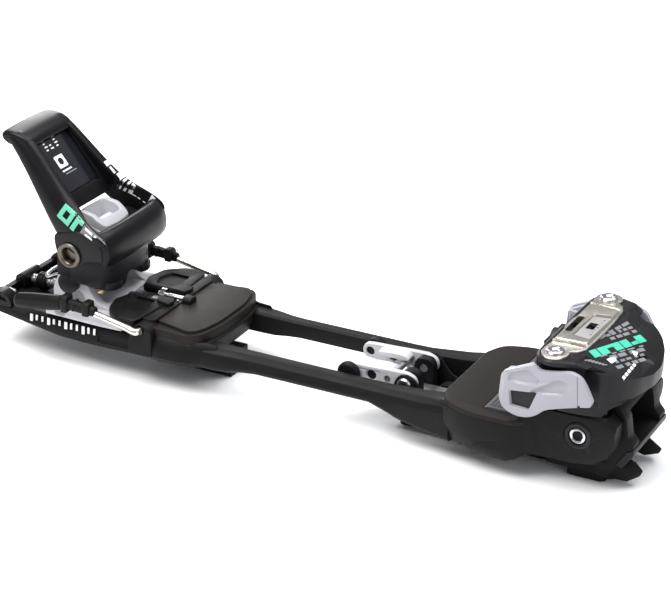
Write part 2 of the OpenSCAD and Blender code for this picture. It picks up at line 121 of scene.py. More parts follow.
def edge_wear(tree, low, high):
    """A mask of raised edges, broken up by noise."""
    geometry = tree.nodes.new("ShaderNodeNewGeometry")
    spread = tree.nodes.new("ShaderNodeMapRange")
    spread.inputs[1].default_value = low
    spread.inputs[2].default_value = high
    tree.links.new(geometry.outputs["Pointiness"], spread.inputs[0])
    return arithmetic(tree, "MULTIPLY", spread.outputs[0], noise(tree, 240), clamp=True)


def worn(tree, colour, mask, strength, wear):
    """The colour, blended towards the wear colour where the mask is high."""
    factor = arithmetic(tree, "MULTIPLY", mask, strength)
    node = tree.nodes.new("ShaderNodeMix")
    node.data_type = "RGBA"
    tree.links.new(factor, node.inputs[0])
    tree.links.new(colour, node.inputs[6])
    node.inputs[7].default_value = (*wear, 1)
    return node.outputs[2]


def add_bump(tree, shader, height, strength, distance):
    node = tree.nodes.new("ShaderNodeBump")
    node.inputs["Strength"].default_value = strength
    node.inputs["Distance"].default_value = distance
    tree.links.new(height, node.inputs["Height"])
    tree.links.new(node.outputs[0], shader.inputs["Normal"])


def vary_roughness(tree, shader, factor, rough, spread):
    value = arithmetic(tree, "MULTIPLY_ADD", factor, spread, rough - spread / 2, clamp=True)
    tree.links.new(value, shader.inputs["Roughness"])


def plastic(name, colour, rough=0.42, grain=1500, bump=0.25, vary=0.18, wear=None, coat=0.0,
            specular=0.28):
    """Moulded plastic: fine grain, a broad waviness and paler worn edges."""
    material, tree, shader = new_material(name)
    base = ramp(tree, noise(tree, 28, detail=5, rough=0.6),
                shade(colour, 1 - vary), shade(colour, 1 + vary))
    mask = edge_wear(tree, low=0.52, high=0.60)
    base = worn(tree, base, mask, 0.6, wear or shade(colour, 1.9))
    tree.links.new(base, shader.inputs["Base Color"])
    shader.inputs["Coat Weight"].default_value = coat
    shader.inputs["Coat Roughness"].default_value = 0.12
    shader.inputs["Specular IOR Level"].default_value = specular
    fine = noise(tree, grain, detail=2)
    broad = noise(tree, 90, detail=2)
    height = arithmetic(tree, "ADD", arithmetic(tree, "MULTIPLY", fine, 0.6),
                        arithmetic(tree, "MULTIPLY", broad, 0.4))
    add_bump(tree, shader, height, bump, distance=0.0004)
    vary_roughness(tree, shader, noise(tree, 55, detail=4), rough, spread=0.22)
    return material


def metal(name, colour, rough, stretch=(1, 1, 1), bump=0.15, grain=900, vary=0.10):
    """Metal whose grain is stretched along one direction."""
    material, tree, shader = new_material(name)
    base = ramp(tree, noise(tree, 60, detail=5, rough=0.65, stretch=stretch),
                shade(colour, 1 - vary), shade(colour, 1 + vary))
    base = worn(tree, base, edge_wear(tree, low=0.51, high=0.6), 0.5, shade(colour, 1.35))
    tree.links.new(base, shader.inputs["Base Color"])
    shader.inputs["Metallic"].default_value = 1.0
    add_bump(tree, shader, noise(tree, grain, stretch=stretch), bump, distance=0.0002)
    vary_roughness(tree, shader, noise(tree, 300, stretch=stretch), rough, spread=0.2)
    return material


BLACK = plastic("m_frame_black", (0.0052, 0.0049, 0.0048), rough=0.5, grain=1400, bump=0.3,
                vary=0.2, wear=(0.020, 0.019, 0.018), specular=0.12)
BLACK_TOP = plastic("m_top_warm", (0.0135, 0.0112, 0.0102), rough=0.52, grain=1100, bump=0.35,
                    vary=0.14, wear=(0.030, 0.027, 0.025), specular=0.1)
BASE = plastic("m_base_black", (0.0055, 0.0055, 0.0062), rough=0.5, grain=1200, bump=0.4,
               vary=0.2, specular=0.12)
LEVER = plastic("m_lever_black", (0.0038, 0.0038, 0.0044), rough=0.34, grain=1800, bump=0.10,
                vary=0.2, wear=(0.014, 0.014, 0.016), coat=0.03, specular=0.16)
CUP = plastic("m_cup", (0.0105, 0.0096, 0.0122), rough=0.40, bump=0.2, vary=0.15,
              wear=(0.030, 0.029, 0.033), specular=0.18)
HOUSING = plastic("m_housing", (0.0062, 0.0059, 0.0070), rough=0.38, bump=0.2, vary=0.2,
                  wear=(0.026, 0.026, 0.029), specular=0.2)
GREY = plastic("m_light_grey", (0.42, 0.412, 0.44), rough=0.38, grain=1300, bump=0.18,
               vary=0.05, wear=(0.78, 0.78, 0.8))
MID_GREY = plastic("m_mid_grey", (0.20, 0.197, 0.215), grain=1300, bump=0.18, vary=0.06,
                   wear=(0.4, 0.4, 0.42))
PALE_GREY = plastic("m_lever_white", (0.33, 0.33, 0.355), rough=0.34, grain=1300, bump=0.15,
                    vary=0.05, wear=(0.5, 0.5, 0.53))
WING = plastic("m_wing_silver", (0.285, 0.278, 0.312), rough=0.35, grain=2200, bump=0.22,
               vary=0.07, wear=(0.42, 0.42, 0.455), coat=0.25)
NICKEL = metal("m_nickel", (0.60, 0.56, 0.50), rough=0.30, stretch=(1, 12, 1), bump=0.2,
               grain=700)
CHROME = metal("m_chrome", (0.56, 0.56, 0.57), rough=0.18, bump=0.08, grain=500, vary=0.05)
STEEL = metal("m_steel", (0.46, 0.46, 0.47), rough=0.32, stretch=(1, 1, 8), bump=0.2)
WIRE = metal("m_wire", (0.60, 0.57, 0.52), rough=0.24, stretch=(1, 10, 10))
BRASS = metal("m_brass", (0.66, 0.50, 0.22), rough=0.30)
BRONZE = metal("m_bronze", (0.115, 0.10, 0.085), rough=0.36, bump=0.1)
GLIDE = plastic("m_glide", (0.04, 0.04, 0.043), rough=0.6, grain=700, bump=0.5, vary=0.2)
WHITE_INK = plastic("m_print_white", (0.76, 0.76, 0.78), rough=0.45, grain=900, bump=0.15,
                    vary=0.03, wear=(0.95, 0.95, 0.95))
TEAL_INK = plastic("m_print_teal", (0.028, 0.40, 0.255), grain=900, bump=0.15, vary=0.06,
                   wear=(0.1, 0.5, 0.38))
MINT_INK = plastic("m_print_mint", (0.10, 0.40, 0.27), grain=900, bump=0.15, vary=0.06,
                   wear=(0.2, 0.5, 0.38))
GREY_INK = plastic("m_print_grey", (0.15, 0.147, 0.165), grain=900, bump=0.15, vary=0.06,
                   wear=(0.25, 0.25, 0.27))
WINDOW_GREY = plastic("m_window_grey", (0.235, 0.228, 0.225), rough=0.36, grain=1300, bump=0.12,
                      vary=0.08, wear=(0.33, 0.33, 0.33))
PANEL = plastic("m_panel", (0.008, 0.008, 0.012), rough=0.2, grain=1800, bump=0.06, vary=0.2,
                wear=(0.02, 0.02, 0.025), coat=0.5)


# ------------------------------------------------------------------ outlines
def lay(axis, first, second, along):
    """A point from its distance along an axis and its two other coordinates."""
    return {"x": (along, first, second), "y": (first, along, second),
            "z": (first, second, along)}[axis]


def rect(left, low, right, high):
    return [(left, low), (right, low), (right, high), (left, high)]


def polar(centre, radius, degrees):
    return [(centre[0] + radius * math.cos(math.radians(angle)),
             centre[1] + radius * math.sin(math.radians(angle))) for angle in degrees]


def scaled(points, centre, factor):
    return [(centre[0] + (x - centre[0]) * factor, centre[1] + (y - centre[1]) * factor)
            for x, y in points]


def mirrored(points):
    """The outline followed by its mirror image in the second coordinate."""
    return list(points) + [(x, -y) for x, y in reversed(points)]


def rounded(points, radius, segments=4):
    """Polygon with its corners rounded; a list gives each corner its own radius."""
    outline = []
    for i in range(len(points)):
        before, corner = Vector(points[i - 1]), Vector(points[i])
        after = Vector(points[(i + 1) % len(points)])
        own = radius[i] if isinstance(radius, (list, tuple)) else radius
        if own <= 0:
            outline.append(tuple(corner))
            continue
        back, ahead = before - corner, after - corner
        reach = min(own, back.length * 0.45, ahead.length * 0.45)
        start = corner + back.normalized() * reach
        end = corner + ahead.normalized() * reach
        for k in range(segments + 1):
            t = k / segments
            outline.append(tuple(start * (1 - t) ** 2 + corner * 2 * t * (1 - t) + end * t * t))
    return outline


def spline_span(points, steps):
    """Catmull-Rom points from the second of four control points towards the third."""
    span = []
    for k in range(steps):
        t = k / steps
        span.append(tuple(
            0.5 * ((2 * b) + (-a + c) * t + (2 * a - 5 * b + 4 * c - d) * t * t
                   + (-a + 3 * b - 3 * c + d) * t ** 3)
            for a, b, c, d in zip(*points)))
    return span


def smoothed(points, steps):
    """Closed outline rounded by a spline through its points."""
    count = len(points)
    outline = []
    for i in range(count):
        outline += spline_span((points[i - 1], points[i], points[(i + 1) % count],
                                points[(i + 2) % count]), steps)
    return outline


# ------------------------------------------------------------------ solids
def new_object(name, vertices, faces):
    mesh = bpy.data.meshes.new(name)
    mesh.from_pydata([tuple(vertex) for vertex in vertices], [], faces)
    mesh.update()
    ob = bpy.data.objects.new(name, mesh)
    scene.collection.objects.link(ob)
    bm = bmesh.new()
    bm.from_mesh(mesh)
    bmesh.ops.remove_doubles(bm, verts=bm.verts, dist=1e-6)
    bmesh.ops.recalc_face_normals(bm, faces=bm.faces)
    bm.to_mesh(mesh)
    bm.free()
    return ob


def loft(name, rings):
    """Join rings of equal length in order, with end caps."""
    n = len(rings[0])
    last = (len(rings) - 1) * n
    faces = []
    for k in range(len(rings) - 1):
        for i in range(n):
            j = (i + 1) % n
            faces.append([k * n + i, k * n + j, (k + 1) * n + j, (k + 1) * n + i])
    faces.append(list(range(n))[::-1])
    faces.append([last + i for i in range(n)])
    return new_object(name, [metres(*point) for ring in rings for point in ring], faces)


def layers(name, outline, levels, axis="y"):
    """Loft outline(value) at each (level, value) along an axis."""
    return loft(name, [[lay(axis, *point, level) for point in outline(value)]
                       for level, value in levels])


def stations(name, section, table):
    """Loft the (y, z) section made from each row's values at the row's x."""
    return loft(name, [[(x, y, z) for y, z in section(*values)] for x, *values in table])


def prism(name, outline, start, end, axis="y"):
    return layers(name, lambda _: outline, ((start, None), (end, None)), axis)


def rod(name, centre, radius, start, end, axis="y", sides=48):
    turns = [2 * math.pi * i / sides for i in range(sides)]
    outline = [(centre[0] + radius * math.cos(turn), centre[1] + radius * math.sin(turn))
               for turn in turns]
    return prism(name, outline, start, end, axis)


def turned(name, centre, profile, axis="y", sides=56):
    """A turned part: profile is a closed outline of (along, radius) about the axis."""
    vertices, faces = [], []
    m = len(profile)
    for i in range(sides):
        turn = 2 * math.pi * i / sides
        for along, radius in profile:
            vertices.append(metres(*lay(axis, centre[0] + radius * math.cos(turn),
                                        centre[1] + radius * math.sin(turn), along)))
    for i in range(sides):
        j = (i + 1) % sides
        for k in range(m):
            n = (k + 1) % m
            faces.append([i * m + k, i * m + n, j * m + n, j * m + k])
    return new_object(name, vertices, faces)


def wire(name, points, radius, steps):
    """Round wire along a spline through the points."""
    curve = bpy.data.curves.new(name, "CURVE")
    curve.dimensions = "3D"
    curve.bevel_depth = radius / 1000.0
    curve.bevel_resolution = 6
    curve.use_fill_caps = True
    last = len(points) - 1
    path = []
    for i in range(last):
        path += spline_span((points[max(0, i - 1)], points[i], points[i + 1],
                             points[min(last, i + 2)]), steps)
    path.append(tuple(points[-1]))
    spline = curve.splines.new("POLY")
    spline.points.add(len(path) - 1)
    for i, point in enumerate(path):
        spline.points[i].co = (*metres(*point), 1)
    ob = bpy.data.objects.new(name, curve)
    scene.collection.objects.link(ob)
    return realise(ob)


def realise(ob):
    """Turn modifiers and curves into plain mesh."""
    bpy.context.view_layer.update()
    graph = bpy.context.evaluated_depsgraph_get()
    mesh = bpy.data.meshes.new_from_object(ob.evaluated_get(graph), depsgraph=graph)
    name = ob.name
    if ob.type == "MESH":
        ob.modifiers.clear()
        ob.data = mesh
        mesh.name = name
        return ob
    bpy.data.objects.remove(ob)
    solid = bpy.data.objects.new(name, mesh)
    scene.collection.objects.link(solid)
    solid.name = name
    return solid


def combine(ob, tools, operation):
    for tool in tools:
        modifier = ob.modifiers.new("b", "BOOLEAN")
        modifier.operation = operation
        modifier.object = tool
        modifier.solver = "EXACT"
        realise(ob)
        bpy.data.objects.remove(tool)
    return ob


def cut(ob, *tools):
    return combine(ob, tools, "DIFFERENCE")


def fuse(ob, *tools):
    return combine(ob, tools, "UNION")


def bevel(ob, width, segments=3, angle=28):
    """Clean the mesh, then round every edge sharper than the angle in degrees."""
    bm = bmesh.new()
    bm.from_mesh(ob.data)
    bmesh.ops.remove_doubles(bm, verts=bm.verts, dist=2e-5)
    bmesh.ops.dissolve_limit(bm, angle_limit=math.radians(1.0), verts=bm.verts, edges=bm.edges)
    bm.to_mesh(ob.data)
    bm.free()
    modifier = ob.modifiers.new("v", "BEVEL")
    modifier.width = width / 1000.0
    modifier.segments = segments
    modifier.limit_method = "ANGLE"
    modifier.angle_limit = math.radians(angle)
    modifier.use_clamp_overlap = True
    modifier.harden_normals = False
    modifier.miter_outer = "MITER_ARC"
    return realise(ob)


def subdivide(ob):
    modifier = ob.modifiers.new("s", "SUBSURF")
    modifier.levels = modifier.render_levels = 2
    return realise(ob)


def mirror_y(ob, name):
    mesh = ob.data.copy()
    copy = bpy.data.objects.new(name, mesh)
    scene.collection.objects.link(copy)
    mesh.transform(Matrix.Diagonal((1, -1, 1, 1)))
    bm = bmesh.new()
    bm.from_mesh(mesh)
    bmesh.ops.reverse_faces(bm, faces=bm.faces)
    bm.to_mesh(mesh)
    bm.free()
    return copy


def piece(ob, material, body, slot, *replaced, smooth=30):
    mesh = ob.data
    mesh.materials.clear()
    mesh.materials.append(material)
    for polygon in mesh.polygons:
        polygon.material_index = 0
    bm = bmesh.new()
    bm.from_mesh(mesh)
    bmesh.ops.recalc_face_normals(bm, faces=bm.faces)
    loose = [vertex for vertex in bm.verts if not vertex.link_faces]
    bmesh.ops.delete(bm, geom=loose, context="VERTS")
    for face in bm.faces:
        face.smooth = True
    for edge in bm.edges:
        if len(edge.link_faces) == 2:
            edge.smooth = edge.calc_face_angle(0) < math.radians(smooth)
    bm.to_mesh(mesh)
    bm.free()
    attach(ob, body)
    if replaced:
        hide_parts(*replaced)
    return ob


def both(ob, material, body, slot, *replaced, smooth=30):
    """Finish a near part and its mirrored far twin."""
    piece(ob, material, body, slot, *replaced, smooth=smooth)
    far = mirror_y(ob, ob.name + "_far")
    piece(far, material, body, slot, smooth=smooth)
    return ob, far


def name_sides(pair, stem):
    for ob, (_, side_name) in zip(pair, SIDES):
        ob.name = stem + "_" + side_name


# ------------------------------------------------------------------ rails and toe platform
# x, bottom z, outer y, top z
RAIL = ((-124, 17, 36, 30), (-112, 17, 35.6, 30), (-103, 17.2, 34.6, 29.8),
        (-95, 18.4, 33.4, 29.5), (-86, 19.2, 33, 29.4), (-60, 19.4, 33, 29.4),
        (-14, 19.3, 33, 29.4), (-4, 16.4, 33.3, 29.5), (4, 14.0, 34.2, 30),
        (19, 11.7, 35.6, 31), (30, 11.3, 37.2, 32.4), (38, 11.2, 39.2, 34))


def rail_section(low, side, top):
    return [(-21.2, low + 0.8), (-22.2, low), (-(side - 2.4), low), (-(side - 0.6), low + 1.6),
            (-side, low + 3.2), (-(side - 0.3), top - 6), (-(side - 1.8), top - 2.4),
            (-(side - 4.2), top - 0.5), (-(side - 5.6), top), (-22.6, top), (-21.2, top - 1.2)]


rail = bevel(stations("rail", rail_section, RAIL), 0.5, 2, 20)
name_sides(both(rail, BLACK, "frame", "frame_plastic", smooth=25), "rail")

platform = prism("toe_platform", rounded(
    mirrored([(29.9, 26), (35, 38.2), (50, 43.6), (76, 43.6), (84, 38)]),
    [2, 7, 8, 4, 3, 3, 4, 8, 7, 2], 6), 32.6, 36, "z")
cut(platform, prism("cut", [(57, 36.2), (75, 36.2), (75, -36.2), (57, -36.2)], 33.2, 40, "z"))
piece(bevel(platform, 2.2, 5, 35), BLACK_TOP, "frame", "frame_top")

# Skirts that sweep from the rails into the cheeks beside the axle: x, outer y, top z, bottom z
CHEEK = ((30.2, 34.0, 32.6, 12.2), (35.5, 38.4, 34.4, 11.6), (44, 41.8, 34.6, 10.8),
         (52, 43.3, 34.6, 10.0), (62, 43.6, 34.6, 9.2), (71.5, 43.5, 34.6, 8.7),
         (76.5, 42.2, 35.0, 10.2), (81, 39.8, 40.0, 13.2), (85, 38.2, 45.3, 13.4),
         (96, 37.0, 45.4, 13.4), (108, 36.8, 45.4, 13.6), (118, 36.7, 45.4, 15.2),
         (125.5, 36.3, 45.0, 20.4), (130.6, 35.2, 40.0, 28.0))


def cheek_section(side, top, low):
    height = top - low
    return [(-24.9, top), (-(side - 2.4), top), (-(side - 0.3), top - 1.6),
            (-(side + 0.35), low + 0.62 * height), (-(side - 0.2), low + 0.42 * height),
            (-(side - 1.9), low + 0.16 * height), (-(side - 4.6), low + 0.3),
            (-(side - 6.6), low), (-24.9, low)]


cheek = stations("cheek", cheek_section, CHEEK)
for x in (37.6, 44.6):
    cut(cheek, prism("cut", [(x, 5), (x + 2.2, 5), (x + 2.2, 12.4), (x + 0.7, 13.4)], -50, -30))
# Facets pressed into the side, and the seat of the boss ring
cut(cheek,
    layers("cut", lambda out: rounded(
        [(86 - out, 17.6 - out), (99 + out, 19.0 - out), (101 + out, 26.0), (97, 33 + out),
         (86 - out, 38 + out)], 2.4), ((-36.3, -1.6), (-39, 1.2))),
    layers("cut", lambda out: rounded(
        [(52 - out, 13.4 - out), (71 + out, 12.0 - out), (80 + out, 20), (70, 23.5 + out),
         (54 - out, 20.5 + out)], 2.6), ((-42.5, -1.8), (-45.5, 1.6))),
    rod("cut", AXLE, 7.8, -40, -36.0))
name_sides(both(bevel(cheek, 0.8, 3, 24), BLACK, "frame", "frame_plastic", smooth=26), "cheek")
boss = turned("axle_boss", AXLE, [(-35.2, 5.0), (-37.2, 5.2), (-37.6, 5.9), (-37.6, 6.8),
                                  (-37.0, 7.5), (-35.2, 7.75)])
both(boss, HOUSING, "frame", "frame_plastic", smooth=40)

# ------------------------------------------------------------------ heel platform and tray
# bottom x, y, z, then top x, y; the top is flat
BRIDGE = ((-152, 36.8, 17.2, -152, 36.8), (-126, 36.6, 17.2, -124.5, 36.6),
          (-120.5, 31, 18, -117.6, 30), (-118.4, 14, 18.6, -114.6, 13))
BRIDGE_TOP = 30.5
bridge = loft("heel_bridge", [
    [(x, -y, z), (x, y, z), (top_x, top_y, BRIDGE_TOP), (top_x, -top_y, BRIDGE_TOP)]
    for x, y, z, top_x, top_y in BRIDGE])
piece(bevel(bridge, 1.6, 4, 25), BLACK, "frame", "frame_plastic", "frame_chassis")

TOP_RADII = [1.5, 5, 5, 8, 8, 5, 5, 1.5]
heel_top = prism("heel_top", rounded(mirrored(
    [(-150.4, 35.6), (-125.2, 36), (-120.2, 31), (-116.3, 15)]), TOP_RADII, 6), 29.5, 36.2, "z")
fuse(heel_top, prism("add", rounded(mirrored(
    [(-150.4, 29), (-126.4, 34), (-121.8, 28), (-118.4, 14)]), TOP_RADII, 6), 30, 38, "z"))
# Long shallow scallops where the top meets the sides
for side in (-1, 1):
    cut(heel_top, rod("cut", (side * 38.8, 39.5), 4.6, -146, -124, "x", 32))
piece(bevel(heel_top, 1.3, 4), BLACK_TOP, "frame", "frame_top", "heel_cover") if False else \
    piece(bevel(heel_top, 1.3, 4, 30), BLACK_TOP, "frame", "frame_top", "heel_cover")
lug = prism("gauge_lug", rounded([(-3.6, 37), (3.6, 37), (3.6, 40.4), (2.4, 41.6),
                                  (-2.4, 41.6), (-3.6, 40.4)], 0.6), -150.3, -144.5, "x")
piece(bevel(lug, 0.5, 2), BLACK, "frame", "frame_top")

# x, bottom z, top z, inset from the full width
TRAY = ((-264.5, 24.4, 26.6, 1.5), (-259, 23.3, 25.6, 0), (-240, 20.3, 22.6, 0),
        (-226, 18.2, 20, 0), (-216, 16.7, 20, 0), (-193, 15.9, 20, 0), (-150, 17, 20, 0))
tray = stations("heel_tray",
                lambda low, top, inset: rect(-36.6 + inset, low, 36.6 - inset, top), TRAY)
piece(bevel(tray, 0.7, 3, 30), BLACK, "frame", "frame_plastic")

# x, bottom z, top z, outer y
TRAY_WALL = ((-263, 24.8, 28.4, 35.6), (-256, 22.8, 28.9, 36.6), (-238, 19.8, 28.4, 37),
             (-226, 18, 28.1, 37), (-215, 16.5, 28, 37), (-193, 15.9, 27.8, 37),
             (-172, 16.4, 28.2, 37.2), (-158, 17, 29.5, 37.4), (-150, 17, 30.2, 37))


def wall_section(low, top, side):
    return [(-30.2, low + 1), (-(side - 1.6), low), (-(side - 0.2), low + 1.4), (-side, low + 3),
            (-(side - 0.4), (low + top) / 2 + 1), (-(side - 1.8), top - 1.2),
            (-(side - 3.4), top), (-30.2, top)]


wall = cut(stations("tray_wall", wall_section, TRAY_WALL), prism("cut", rounded(
    [(-188, 19.4), (-166, 19.6), (-164, 24.4), (-186, 24.6)], 1.4), -40, -36.1))
name_sides(both(bevel(wall, 0.45, 2, 22), BLACK, "frame", "frame_plastic", smooth=25),
           "tray_wall")

boss = prism("bail_boss", rounded(
    [(-164, 19), (-148.4, 19), (-148.0, 35.0), (-152, 38.4), (-158.0, 38.8), (-163, 32)],
    [2, 2, 4, 4, 4, 5], 6), -40.6, -30.2)
cut(boss, rod("cut", BAIL_AXIS, 2.3, -45, -25, "y", 32))
both(bevel(boss, 1.5, 4), BLACK, "frame", "frame_plastic", smooth=34)

# x, bottom z, outer y
FLARE = ((-150, 17.1, 40.0), (-142, 17.0, 40.4), (-132, 17.0, 40.0), (-125, 17.0, 38.4),
         (-118, 17.1, 35.6), (-110, 17.2, 34.4))
flare = stations("heel_flare", lambda low, side: [
    (-30, low), (-(side - 2.2), low), (-side, low + 3.4), (-(side - 0.4), 24),
    (-(side - 2.6), 29.4), (-(side - 4.6), 31.6), (-30, 31.6)], FLARE)
both(bevel(flare, 0.6, 3, 22), BLACK, "frame", "frame_plastic", smooth=28)
cover = prism("shaft_cover", rounded(
    [(-158.7, 6.2), (-150.2, 6.2), (-150.2, 31.0), (-153, 33.4), (-158.7, 33.0)], 1.2),
    37.7, 39.3, "z")
both(bevel(cover, 0.6), BLACK, "frame", "frame_plastic")

# Rear pads with a dished top and a split nose
pad = layers("heel_pad", lambda inset: rounded(
    [(-158.4 + inset, -6.2 - inset), (-160.2 + inset, -39.6 + inset), (-172.6, -39.6 + inset),
     (-183, -30.5 + inset * 0.5), (-187.4 + inset, -18), (-183.4 + inset, -6.2 - inset)], 2.2),
    ((35.0, 0.4), (35.8, 0.0), (38.2, 0.0), (39.3, 0.7), (39.9, 1.9)), "z")
cut(pad,
    layers("cut", lambda out: rounded(
        [(-163 + out, -11 - out), (-163 + out, -27 + out), (-177 - out, -27 + out),
         (-180.4 - out, -19), (-177 - out, -11 - out)], 2, 3), ((38.5, -1.2), (42, 0.6)), "z"),
    prism("cut", rounded([(-190, -24.6), (-184.6, -22.6), (-184.6, -20.8), (-190, -20.4)], 0.6),
          30, 45, "z"))
bevel(pad, 0.45, 2, 30)
cut(pad,
    prism("cut", [(-196, 33), (-196, 41.5), (-188.2, 38.4), (-181.2, 35.4), (-181.2, 33)],
          -25.3, -18.3),
    prism("cut", [(-200, 33), (-200, 35.75), (-181.2, 35.75), (-181.2, 33)], -25.3, -4))
both(pad, BLACK, "frame", "frame_plastic", "heel_pads")
foot = prism("pad_foot", rounded(rect(-163.4, 27.6, -160.2, 35.6), 0.5), -36.4, -31)
both(bevel(foot, 0.3, 2), BLACK, "frame", "frame_plastic")
# Small wedges beside the gauge rod
wedge = prism("gauge_wedge", rounded(
    [(-164, -5.6), (-154, -5.2), (-152, -9.5), (-153, -14), (-162, -12)], 1), 38.6, 41.4, "z")
both(bevel(wedge, 0.7), BLACK, "frame", "frame_plastic")

# Rear end cap with two humps and a saddle over the spindle
cap = prism("rear_cap", rounded([(-267.6, 24.2), (-262, 23.4), (-262, 31), (-266.4, 31.2)],
                                [1.6, 0, 0, 1.6]), -35.6, 35.6)
cut(cap, rod("cut", SPINDLE, 2.9, -275, -255, "x"))
piece(bevel(cap, 0.8), BLACK, "frame", "frame_plastic", "end_cap")
hump = prism("cap_hump", rounded(
    [(-266.6, 27), (-248, 27.4), (-249.6, 33), (-253, 35.6), (-257, 36.6), (-262.4, 35.2),
     (-266, 31.4)], 2.6, 5), -36.2, -28.4)
cut(hump, prism("cut", rounded(
    [(-258, 31), (-251.5, 30.4), (-252.5, 33), (-257, 34.2)], 1), -40, -34.6))
both(bevel(hump, 1.5, 4), LEVER, "frame", "frame_plastic")
saddle = prism("cap_saddle", rounded(
    [(-266, 30), (-258.4, 27), (-258.2, 34.4), (-261, 36), (-265, 34)], 1.5), -8, 8)
cut(saddle, rod("cut", SPINDLE, 2.9, -275, -250, "x"))
piece(bevel(saddle, 0.9), LEVER, "frame", "frame_plastic")
glint = stations("cap_glint", lambda left, right, top: rect(left, 30, right, top),
                 ((-259.5, -27.6, -22, 33.2), (-255, -28, -21.4, 32)))
piece(bevel(glint, 0.8), GREY, "frame", "grey_plastic")

# ------------------------------------------------------------------ toe housing
SLOPE = math.radians(25)


def on_slope(down, y, height):
    """A point on the sloping visor: distance down it, across it and above it."""
    return (108.5 + down * math.cos(SLOPE) + height * math.sin(SLOPE), y,
            76.8 - down * math.sin(SLOPE) + height * math.cos(SLOPE))


def slope_prism(name, outline, low, high):
    return loft(name, [[on_slope(down, y, height) for down, y in outline]
                       for height in (low, high)])


# Half outlines (x, y) from the rear round to the nose
DECK = [(77, 33), (81, 36.4), (90, 37.3), (104, 37.3), (116, 36), (124, 33.6), (130, 29.6),
        (134.6, 22), (137.6, 9)]
BODY = [(84.3, 27), (86.6, 34.5), (90, 39.6), (96, 39.8), (102, 39.2), (114, 34), (124, 31.4),
        (131, 26.2), (136.2, 17.5), (139.4, 6)]
CAP = [(86.3, 27), (87.6, 39.4), (91.4, 43.8), (96.7, 45.3), (103, 44.0), (114, 40.2),
       (124, 35.0), (132, 27), (137.2, 17), (140.2, 6)]


def toe_ring(half, z, inset=0.0):
    return [(x - (inset if x > 100 else -inset), y - (inset if y > 0 else -inset), z)
            for x, y in smoothed(mirrored(half), 3)]


housing = loft("toe_body", [toe_ring(BODY, 63.8, 0.4), toe_ring(BODY, 66), toe_ring(BODY, 72.9),
                            toe_ring(CAP, 73.7), toe_ring(CAP, 75.9), toe_ring(CAP, 76.7, 0.9)])
pier = prism("add", rounded(mirrored(
    [(84, 25.8), (106.6, 25.8), (109.4, 34.6), (121.4, 35.0), (126.6, 32.2), (131.0, 27.8),
     (136, 18.8), (139.3, 6)]), [1, 1, 1, 2, 2, 2, 3, 3, 3, 3, 2, 2, 2, 1, 1, 1], 3), 50, 70, "z")
deck = loft("add", [toe_ring(DECK, 45.3), toe_ring(DECK, 52.8), toe_ring(DECK, 55.9, 1.2)])
fuse(housing, pier, deck)
# Trim to the slope above and the nose below, then clear the pivot block
cut(housing,
    prism("cut", [(108.5, 76.8), (136.5, 63.743), (139.2, 61.6), (146, 55), (160, 55),
                  (160, 95), (108.2, 95)], -60, 60),
    prism("cut", rounded([(152, 53.6), (137, 54.6), (126, 50.6), (119, 40), (152, 40)],
                         [0, 3, 3, 0, 0]), -60, 60),
    rod("cut", AXLE, 24.1, -24.7, 24.7, "y", 64),
    prism("cut", [(119.0, 0), (170, 0), (170, 48)]
          + polar(AXLE, 30, (30, 36, 42, 48, 54, 60, 66, 74.5)), -24.7, 24.7))
# A recess along each flank of the visor
RECESS = rounded([(1.8, 30.6), (3.0, 37.6), (12.4, 33.4), (15.4, 27.0), (12.2, 26.0)], 1.2, 3)
for side in (-1, 1):
    cut(housing, slope_prism("cut", [(down, side * y) for down, y in RECESS], -0.35, 3))
cut(housing, prism("cut", rounded(rect(84, -3.2, 104.6, 3.2), 0.5), 71, 80, "z"),
    rod("cut", TOE_SCREW, 3.1, 117, 150, "x", 24), rod("cut", TOE_SCREW, 6.2, 70, 118, "x", 32))
for side in (-1, 1):
    cut(housing, rod("cut", (TOE_RIVET[0], side * TOE_RIVET[1]), 3.02, 40, 80, "z", 32))
piece(bevel(housing, 0.9, 4, 24), HOUSING, "frame", "frame_plastic", "toe_housing", smooth=34)


# Print on the slope: grey slanted hatch, one teal band and a small white band, and a white patch by
# the nose that is a painted highlight
def slope_mark(name, outline, material):
    piece(slope_prism(name, outline, -0.5, 0.12), material, "frame", "white_mark")


def band(down0, y0, down1, y1, width, start, end):
    """A slanted bar on the line 0 to 1, between the fractions start and end."""
    near = (down0 + (down1 - down0) * start, y0 + (y1 - y0) * start)
    far = (down0 + (down1 - down0) * end, y0 + (y1 - y0) * end)
    return [near, far, (far[0] + width * 0.96, far[1] - width * 0.32),
            (near[0] + width * 0.96, near[1] - width * 0.32)]


# start fraction, end fraction, width, offset down the slope
TEAL_BAND = ((0.0, 0.13, 5.2, 0), (0.15, 0.30, 5.2, 0), (0.30, 0.42, 2.0, 0),
             (0.42, 0.56, 5.2, 0), (0.58, 0.72, 5.2, 0), (0.72, 0.86, 2.2, 3.0),
             (0.86, 1.0, 5.2, 0))
for i, (start, end, width, offset) in enumerate(TEAL_BAND):
    slope_mark("teal_band_%d" % i,
               band(1.5 + offset, -24.6, 15.0 + offset, 17.4, width, start, end), TEAL_INK)
